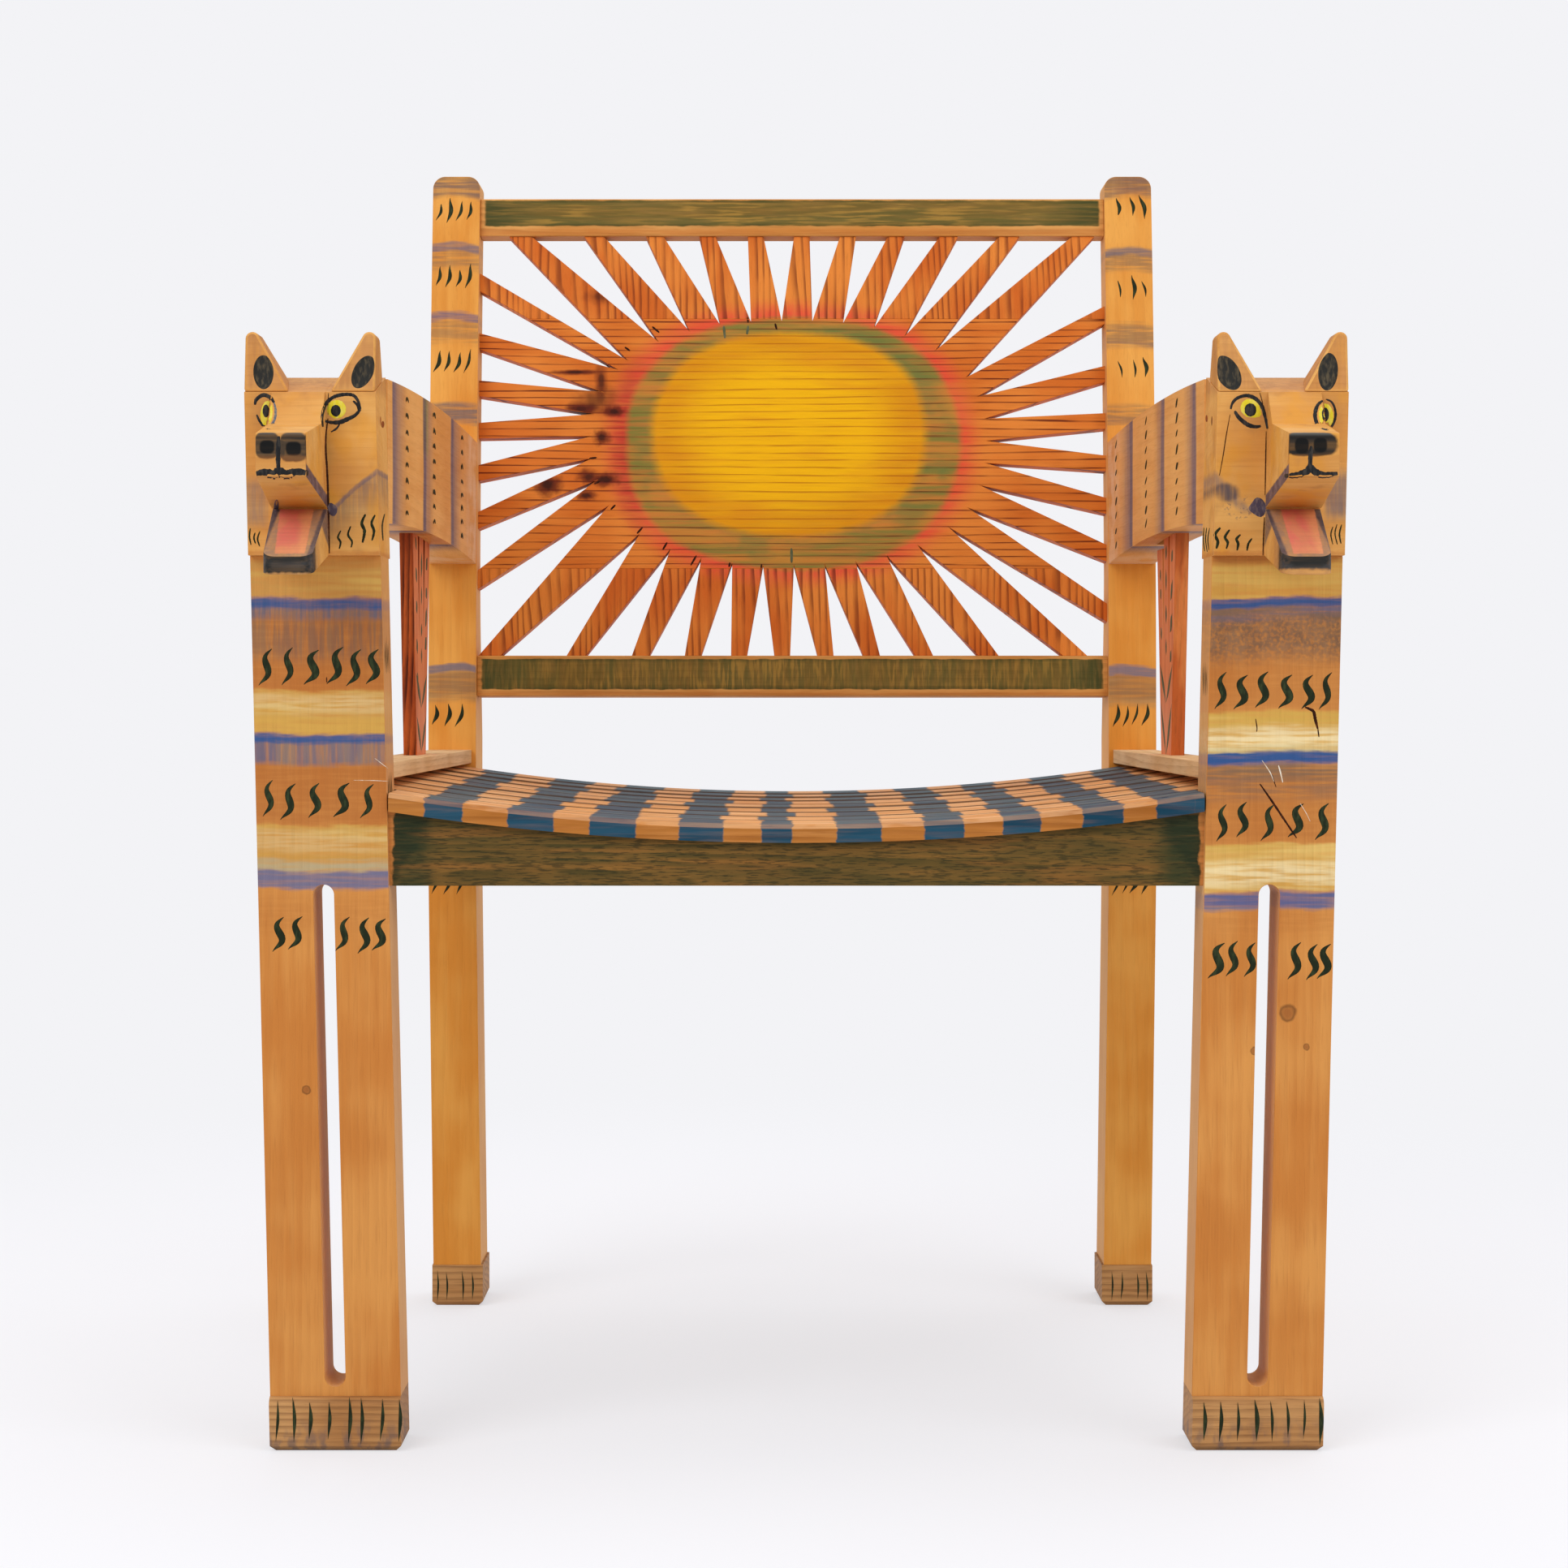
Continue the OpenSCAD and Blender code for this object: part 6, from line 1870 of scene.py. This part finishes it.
@dataclass
class Heads:
    """The two animal heads: their boards, ears, eyes, noses and open mouths."""

    middle: float = 323.5
    lip_height: float = 616.7
    lip_slope: float = 0.1611
    ear_face: float = -8.0
    ear_base: float = 694.0
    ear_slope: float = 8.0
    hollow_depth: float = 5.0
    hollow_back: float = 2.0
    hollows: dict[Side, dict[str, Spot]] = per_side(
        {"outer": Spot(Paint.NIGHT, (-349.2, 708.6), 6.6, 11.8, 3.0),
         "inner": Spot(Paint.NIGHT, (-283.4, 708.6), 6.6, 12.0, -24.0)},
        {"inner": Spot(Paint.NIGHT, (282.2, 708.2), 7.6, 12.8, 26.0),
         "outer": Spot(Paint.NIGHT, (348.4, 709.2), 6.4, 13.2, -6.0)})
    pads: dict[Side, tuple[tuple[float, float, float, float], ...]] = per_side(
        ((-331.6, 651.8, 7.4, 8.4), (-315.0, 650.8, 8.8, 9.2), (-323.4, 649.5, 3.0, 5.6)),
        ((320.5, 652.6, 16.8, 7.6),))
    nostrils: dict[Side, tuple[tuple[float, float, float, float], ...]] = per_side(
        ((-331.5, 650.8, 4.6, 4.2), (-315.0, 649.8, 4.8, 4.4)),
        ((315.2, 651.6, 4.3, 5.0), (326.8, 652.0, 4.2, 4.6)))
    tongues: dict[Side, tuple[float, float]] = per_side((3.4, -6.9), (4.1, -5.1))
    tongue_root: float = -8.0
    tongue_length: float = 75.0
    tongue_half: float = 11.0
    tongue_taper: float = 1.7
    chins: dict[Side, float] = per_side(572.5, 575.0)
    spots: tuple[Spot, ...] = (
        Spot(Paint.YELLOW, (-346.8, 680.0), 4.0, 8.4, -6.0),
        Spot(Paint.NIGHT, (-347.2, 681.5), 2.2, 4.2, 0.0, 0.0, 0.3),
        Spot(Paint.YELLOW, (-301.1, 682.7), 6.4, 6.2, 20.0),
        Spot(Paint.NIGHT, (-301.5, 681.7), 3.3, 3.9, 0.0, 0.0, 0.3),
        Spot(Paint.YELLOW, (296.9, 683.3), 6.5, 6.0, -35.0, 0.35),
        Spot(Paint.NIGHT, (297.1, 682.2), 3.9, 4.4, 0.0, 0.0, 0.3),
        Spot(Paint.YELLOW, (346.6, 678.5), 4.9, 8.0, 4.0),
        Spot(Paint.NIGHT, (346.2, 679.2), 2.3, 4.6, 0.0, 0.0, 0.3),
        Spot(Paint.PLUM, (-304.0, 617.0), 2.8, 4.6, 20.0, 0.3),
        Spot(Paint.PLUM, (302.8, 618.6), 4.4, 6.6, 192.0, 0.6),
        Spot(Paint.PLUM, (-340.5, 619.0), 1.6, 4.6, -4.0),
        Spot(Paint.RUST, (-270.8, 672.7), 0.9, 2.3, 0.0),
        Spot(Paint.RUST, (268.5, 676.6), 0.6, 2.4, 0.0))
    strokes: tuple[Stroke, ...] = (
        *lines(Paint.NIGHT, -8.0,
               (2.5, -354.5, 685.6, -353.3, 689.2, -348.8, 692.0, -344.2, 690.1, -341.9, 686.9)),
        *lines(Paint.GREY, -8.0, (1.6, -341.9, 686.9, -340.9, 681.7, -341.7, 675.9, -345.3, 669.5)),
        *lines(Paint.NIGHT, -8.0,
               (1.5, -353.3, 679.1, -351.6, 675.3, -349.0, 671.8, -345.8, 669.7),
               (2.2, -309.9, 671.2, -310.5, 676.6, -309.5, 682.7, -307.3, 687.1, -302.8, 690.7,
                -296.4, 692.3, -290.2, 691.8, -287.0, 688.1, -285.3, 682.7),
               (2.6, -285.3, 682.7, -288.9, 678.7, -293.8, 676.2, -298.9, 674.2, -304.3, 674.0,
                -308.5, 675.0),
               (1.2, -298.9, 673.2, -301.0, 670.1, -304.6, 667.8),
               (1.6, -290.2, 688.1, -287.3, 685.3, -286.6, 681.7)),
        *lines(Paint.INK, -8.0,
               (1.3, -298.2, 603.2, -300.1, 598.9, -298.4, 595.7, -299.2, 591.3),
               (1.3, -291.7, 606.1, -293.5, 600.6, -290.9, 596.1, -291.5, 592.2),
               (1.9, -282.1, 613.9, -284.5, 608.1, -282.7, 602.9, -284.0, 595.4),
               (1.6, -275.8, 613.5, -278.1, 608.1, -276.5, 602.9, -277.8, 596.7),
               (1.0, -269.6, 614.1, -271.1, 606.4, -270.6, 596.7),
               (1.0, -357.5, 604.7, -358.0, 599.3, -357.0, 593.9),
               (1.0, -354.4, 601.9, -355.1, 598.3, -354.0, 594.7),
               (1.0, -351.2, 602.8, -352.7, 597.8, -351.3, 592.9)),
        *lines(Paint.CRACK, -8.0,
               (0.6, -306.3, 693.3, -306.6, 686.9, -306.4, 679.1),
               (1.3, -306.6, 676.6, -307.9, 666.3, -308.1, 656.0, -307.4, 645.7, -306.8, 632.8,
                -306.4, 619.9, -306.1, 607.0, -305.7, 588.4)),
        *lines(Paint.NIGHT, -98.0,
               (2.7, -324.2, 657.5, -324.6, 645.2, -324.2, 634.1),
               (5.6, -338.2, 633.9, -333.0, 634.7, -326.9, 633.4, -324.2, 635.1, -319.5, 633.4,
                -313.3, 634.9, -305.7, 634.4)),
        *lines(Paint.NIGHT, -8.0,
               (2.3, 284.2, 682.8, 285.5, 686.9, 288.9, 690.1, 295.1, 691.6, 300.9, 689.2, 304.8,
                684.3, 306.7, 677.9, 308.3, 669.9),
               (2.6, 286.8, 681.5, 289.7, 677.1, 295.1, 672.7, 300.3, 671.2, 303.9, 671.7),
               (2.4, 344.4, 688.2, 341.1, 685.3, 339.4, 679.2, 340.7, 673.4, 343.8, 670.1),
               (1.5, 343.8, 670.1, 347.4, 669.4, 350.7, 671.9, 352.8, 677.9, 352.2, 683.7, 350.0,
                687.6, 346.6, 689.2)),
        *lines(Paint.INK, -8.0,
               (2.0, 277.4, 605.1, 274.0, 600.6, 275.8, 596.1, 274.8, 591.4),
               (1.7, 283.5, 603.8, 280.5, 599.0, 282.3, 595.5, 281.4, 591.4),
               (1.7, 290.6, 600.6, 288.0, 597.7, 289.1, 594.7, 288.4, 590.3),
               (1.3, 298.1, 598.1, 295.8, 594.7, 294.9, 590.1),
               (0.8, 351.1, 605.8, 349.8, 600.6, 351.1, 594.2),
               (0.8, 353.8, 607.3, 352.5, 601.3, 354.0, 594.2),
               (1.0, 356.8, 607.1, 355.4, 600.9, 356.4, 594.7),
               (0.7, 266.8, 605.1, 266.3, 597.4, 267.2, 589.7),
               (0.7, 268.5, 605.1, 267.8, 597.4, 268.9, 589.3),
               (0.7, 270.4, 604.9, 269.3, 597.8, 269.9, 590.6)),
        *lines(Paint.CRACK, -8.0,
               (0.5, 303.2, 693.6, 304.7, 688.2, 305.9, 681.7),
               (0.6, 283.8, 679.2, 281.2, 665.0, 279.2, 652.1, 276.8, 639.2),
               (0.7, 307.4, 668.2, 307.1, 650.8, 306.7, 626.4),
               (0.9, 306.3, 612.0, 305.8, 600.6, 305.3, 587.1)),
        *lines(Paint.NIGHT, -98.0,
               (2.6, 321.1, 651.4, 320.5, 644.0, 320.2, 639.1, 318.0, 634.4),
               (4.2, 304.5, 632.7, 311.9, 633.2, 318.0, 635.2, 320.7, 637.6, 323.9, 634.9, 329.1,
                633.2, 337.5, 634.2)))

    def build(self) -> list[bpy.types.Object]:
        """Makes both heads.

        Returns:
            Their boards and ears.
        """
        dark = plain_paint("ear_hollow", paint(48, 48, 46), paint(94, 84, 66), 0.8)
        pieces = []
        for side in Side:
            boards = self.head_material(side)
            edge = timber_material(f"head_arris_{side.word}", HEAD_WOOD, 90.0 + side.value)
            pieces.append(worn_copy(f"muzzle_board_{side.word}", "front_wood", 2.2, boards, boards))
            pieces.append(worn_copy(f"cheek_board_{side.word}", "front_wood", 1.2, boards, edge))
            for ear, spot in self.hollows[side].items():
                pieces.append(worn_copy(f"ear_{ear}_{side.word}", "front_wood", 1.5, boards, edge,
                                        [self.hollow(spot, dark)]))
        return pieces

    def draw(self, drawing: Drawing) -> None:
        """Draws the eyes, the noses, the cracks and the cheeks' marks.

        Args:
            drawing: The drawing on the chair.
        """
        for spot in self.spots:
            drawing.spot("head_marks", spot)
        for stroke in self.strokes:
            drawing.line("head_marks", stroke)

    def hollow(self, spot: Spot, dark: bpy.types.Material) -> bpy.types.Object:
        """Makes the egg shape that an ear's hollow is carved with.

        Args:
            spot: The hollow's outline on the ear's face.
            dark: Its material.

        Returns:
            The cutter.
        """
        x, height = spot.middle
        front = self.ear_face + (height - self.ear_base) / self.ear_slope
        middle = at(x, front - self.hollow_back, height)
        grow = 1.0 / math.sqrt(1.0 - (self.hollow_back / self.hollow_depth) ** 2)
        size = (spot.half_width * grow * MM, self.hollow_depth * MM,
                spot.half_height * grow * MM, 1.0)
        work = bmesh.new()
        bmesh.ops.create_icosphere(work, subdivisions=4, radius=1.0)
        bmesh.ops.transform(work, verts=work.verts, matrix=Matrix.Translation(middle)
                            @ Matrix.Rotation(math.radians(-spot.tilt), 4, "Y")
                            @ Matrix.Diagonal(size))
        for face in work.faces:
            face.smooth = True
        mesh = bpy.data.meshes.new("ear_hollow_cutter")
        work.to_mesh(mesh)
        work.free()
        mesh.materials.append(dark)
        cutter = link(bpy.data.objects.new("ear_hollow_cutter", mesh))
        cutter.hide_render = True
        return cutter

    def head_material(self, side: Side) -> bpy.types.Material:
        """Makes the timber of a head with nose, lips, tongue and cheek painted on.

        Args:
            side: The side of the chair.

        Returns:
            The material.
        """
        board = Board(Sketch(f"painted_head_{side.word}"), HEAD_WOOD, 16.0 * side.value)
        sketch = board.sketch
        gold = sketch.noise(24.0, (1.0, 1.0, 0.7), 2.0, 17.0 * side.value).step(0.46, 0.66)
        board.tint(gold * 0.6, paint(220, 150, 48))
        brown = sketch.noise(17.0, (1.0, 1.0, 0.6), 3.0, 29.0 * side.value).step(0.54, 0.74)
        board.tint(brown * 0.4, paint(166, 110, 62))
        board.lay(sketch.height.step(690.0, 700.0), paint(176, 118, 72), 0.7, 0.4, Grain.UPRIGHT,
                  paint(198, 138, 84))
        for x in (300.0, 345.0):
            board.smudge((side.value * x, 681.0), 13.0, 11.0, paint(172, 122, 74), 0.45,
                         sketch.depth.step(-12.0, -9.0), 0.7)
        ragged = sketch.sway(2.6, 4.0, EVEN, 3.0, 3.0)
        self.paint_cheeks(board, side, ragged)
        self.paint_nose(board, side, ragged)
        self.paint_mouth(board, side, ragged)
        return board.done()

    def paint_nose(self, board: Board, side: Side, ragged: Value) -> None:
        """Paints the nose on the front of the muzzle, with a painted highlight along the pads' top
        rim.

        Args:
            board: The head's board.
            side: The side of the chair.
            ragged: A small noise that makes edges uneven.
        """
        sketch = board.sketch
        front = (sketch.depth + ragged * 0.4).step(-93.5, -95.5)
        rough = ragged * 0.06
        # The top rim of each nose pad takes a lighter grey: a painted highlight on the muzzle's top
        # edge.
        top = front * sketch.height.step(657.0, 660.0)
        for x, height, half_width, half_height in self.pads[side]:
            pad = (sketch.oval((x, height), half_width, half_height, 3.4) + rough).step(1.08, 0.92)
            board.lay(pad * front, paint(34, 32, 30), 1.0, 0.12, second=paint(72, 58, 44))
            board.lay(pad * top, paint(112, 112, 108), 0.75, 0.4, second=paint(76, 78, 80))
        for x, height, half_width, half_height in self.nostrils[side]:
            hole = (sketch.oval((x, height), half_width, half_height, 3.0) + rough).step(1.15, 0.85)
            board.lay(hole * front, paint(14, 14, 14), 1.0, 0.06)
        under = front * (sketch.height + ragged).step(647.0, 644.0)
        board.lay(under, paint(176, 110, 52), 0.35, 0.4)

    def paint_mouth(self, board: Board, side: Side, ragged: Value) -> None:
        """Paints the tongue, the gum and the lips.

        Args:
            board: The head's board.
            side: The side of the chair.
            ragged: A small noise that makes edges uneven.
        """
        sketch = board.sketch
        depth, height = sketch.depth + ragged, sketch.height + ragged
        inner = sketch.inside(side)
        lip = sketch.depth * self.lip_slope + sketch.height - self.lip_height
        above = (lip + ragged * 0.6).between(-1.0, 8.2, 0.8) * depth.between(-97.0, -9.0, 1.0)
        board.lay(above * inner, paint(78, 62, 76), 0.97, 0.12, second=paint(108, 90, 100))
        up = sketch.facing(2).step(0.4, 0.8)
        jaw = sketch.height.step(618.5, 616.5) * sketch.depth.step(-9.0, -10.5)
        along = (sketch.depth - self.tongue_root) * (-1.0 / self.tongue_length)
        start, drift = self.tongues[side]
        middle = abs(sketch.x) - self.middle
        aside = abs(middle + along * -drift - start + ragged * 0.5)
        half = along * -self.tongue_taper + self.tongue_half
        wet = (aside - half).step(0.6, -0.6) * depth.step(-79.5, -77.5)
        rim = (abs(middle) + ragged * 0.4).step(13.2, 15.2).either(depth.step(-82.0, -86.0))
        bed = jaw * up
        board.lay(bed, paint(176, 134, 104), 0.85, 0.3, Grain.DEPTH, paint(150, 122, 108))
        board.lay(bed * rim, paint(76, 68, 78), 0.97, 0.12, Grain.DEPTH, paint(104, 92, 92))
        board.lay(bed * wet, paint(228, 120, 106), 0.95, 0.15, Grain.DEPTH, paint(226, 138, 104))
        turning = (middle - start + along * -drift).step(side.value * 1.0, side.value * 8.0)
        board.lay(bed * wet * turning.either(along.step(0.62, 0.95) * 0.6), paint(232, 160, 108),
                  0.85, 0.3, Grain.DEPTH)
        outer = up.inverse() * jaw
        low = self.chins[side]
        chin = outer * depth.step(-60.0, -72.0) * height.step(low - 1.2, low + 1.2)
        board.lay(outer * height.step(600.0, 604.0).inverse() * depth.step(-40.0, -60.0),
                  paint(150, 108, 84), 0.45, 0.5)
        board.lay(chin, paint(36, 36, 34), 1.0, 0.08, second=paint(66, 64, 64))
        side_rim = outer * inner * (lip + depth * 0.28).step(-26.0, -30.0).inverse()
        board.lay(side_rim, paint(84, 74, 84), 0.85, 0.3)

    def paint_cheeks(self, board: Board, side: Side, ragged: Value) -> None:
        """Paints the shading of the cheeks and painted shade along the head's bottom edge above the
        post.

        Args:
            board: The head's board.
            side: The side of the chair.
            ragged: A small noise that makes edges uneven.
        """
        sketch = board.sketch
        x, height = abs(sketch.x), sketch.height + ragged
        behind = sketch.depth.step(-10.5, -9.0) * sketch.facing(2).step(0.6, 0.2)
        inner, outer = x.step(306.5, 305.0) * behind, x.step(344.0, 349.0) * behind
        if side is Side.LEFT:
            bulge = (x - 285.0) / 18.0
            fall = (x * -0.8 + 863.8) - height - (bulge * bulge) * 2.0
            streaks = fall.step(0.0, 3.0) * fall.step(34.0, 4.0) * inner
            board.lay(streaks, paint(134, 114, 96), 0.62, 0.6, Grain.UPRIGHT, paint(106, 100, 104))
            board.lay(fall.between(0.0, 3.6, 1.0) * inner, paint(112, 98, 108), 0.7, 0.3,
                      Grain.UPRIGHT)
            board.lay(height.between(607.0, 636.0, 5.0) * outer, paint(128, 114, 112), 0.6, 0.5,
                      Grain.UPRIGHT)
        else:
            band = height - (x * -1.06 + 928.5)
            board.lay(band.between(-5.5, 3.5, 3.5) * inner * height.step(612.0, 620.0),
                      paint(112, 104, 110), 0.62, 0.45, Grain.UPRIGHT)
            dark = (sketch.oval((280.5, 628.0), 9.0, 6.4) + ragged * 0.12).step(1.25, 0.7)
            board.lay(dark * inner * band.step(-16.0, -6.0), paint(70, 68, 80), 0.8, 0.4,
                      Grain.UPRIGHT)
            speck = sketch.noise(2.2, EVEN, 2.0, 9.0).step(0.56, 0.64)
            spread = (sketch.oval((291.0, 618.0), 12.0, 8.0)).step(1.2, 0.6)
            board.lay(speck * spread * inner, paint(110, 92, 92), 0.6, 0.2)
            board.lay(height.between(612.0, 641.0, 6.0) * outer, paint(104, 102, 118), 0.78, 0.4,
                      Grain.UPRIGHT, paint(134, 118, 116))
            smudge = (sketch.oval((323.4, 678.5), 6.5, 5.0) + ragged * 0.15).step(1.2, 0.6)
            board.lay(smudge * behind, paint(120, 106, 88), 0.5, 0.5)
        # Orange-brown along the head's bottom edge: painted shade where the head meets the post.
        board.lay(height.step(591.0, 588.5) * behind, paint(184, 104, 48), 0.5, 0.4)


class Joinery:
    """The hidden dowels, the pegs in the heads and the nails, which keep their CAD shapes."""

    dowels: tuple[str, ...] = ("arm_dowels", "head_dowels", "paw_dowels")

    def build(self) -> None:
        """Gives each of them its material."""
        raw = timber_material("dowel_birch", RAW_DEPTH, 33.0)
        for node in self.dowels:
            self.dress(node, raw)
        self.dress("head_pegs", timber_material("peg_wood", SPLAT_WOOD, 35.0))
        sketch = Sketch("nail_steel", 0.5)
        sketch.shader.inputs["Metallic"].default_value = 0.8
        rust = sketch.noise(1.5, EVEN, 3.0)
        colour = sketch.mix(rust.step(0.4, 0.7), paint(96, 90, 84), paint(70, 48, 34))
        self.dress("slat_nails", sketch.finish(colour, rust, 0.05))

    def dress(self, node: str, material: bpy.types.Material) -> None:
        """Gives a CAD node one material.

        Args:
            node: Name of the CAD node.
            material: The material.
        """
        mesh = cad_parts[node].data
        mesh.materials.clear()
        mesh.materials.append(material)
        LOG.info("%s: CAD shape kept", node)


def main() -> None:
    """Builds the scene in order."""
    logging.basicConfig(level=logging.INFO, format="%(name)s: %(message)s")
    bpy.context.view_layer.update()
    studio = Studio()
    studio.build()
    tree = stroke_tree()
    marks = MarkSet(tree, plain_paint("brush_ink", *Paint.INK.value))
    posts = FrontPosts(marks)
    heads = Heads()
    surface = posts.build() + heads.build()
    sun = SunBack()
    surface += sun.build()
    BackPosts(marks).build()
    Seat().build()
    Arms(marks, MarkSet(tree, plain_paint("leaf_green", *Paint.LEAF.value))).build()
    Joinery().build()
    drawing = Drawing(surface, studio.eye)
    posts.draw(drawing)
    heads.draw(drawing)
    sun.draw(drawing)
    drawing.finish({"post_scars": "front_wood", "head_marks": "front_wood",
                    "sun_marks": "sun_wood"})
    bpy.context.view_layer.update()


if __name__ == "__main__":
    main()
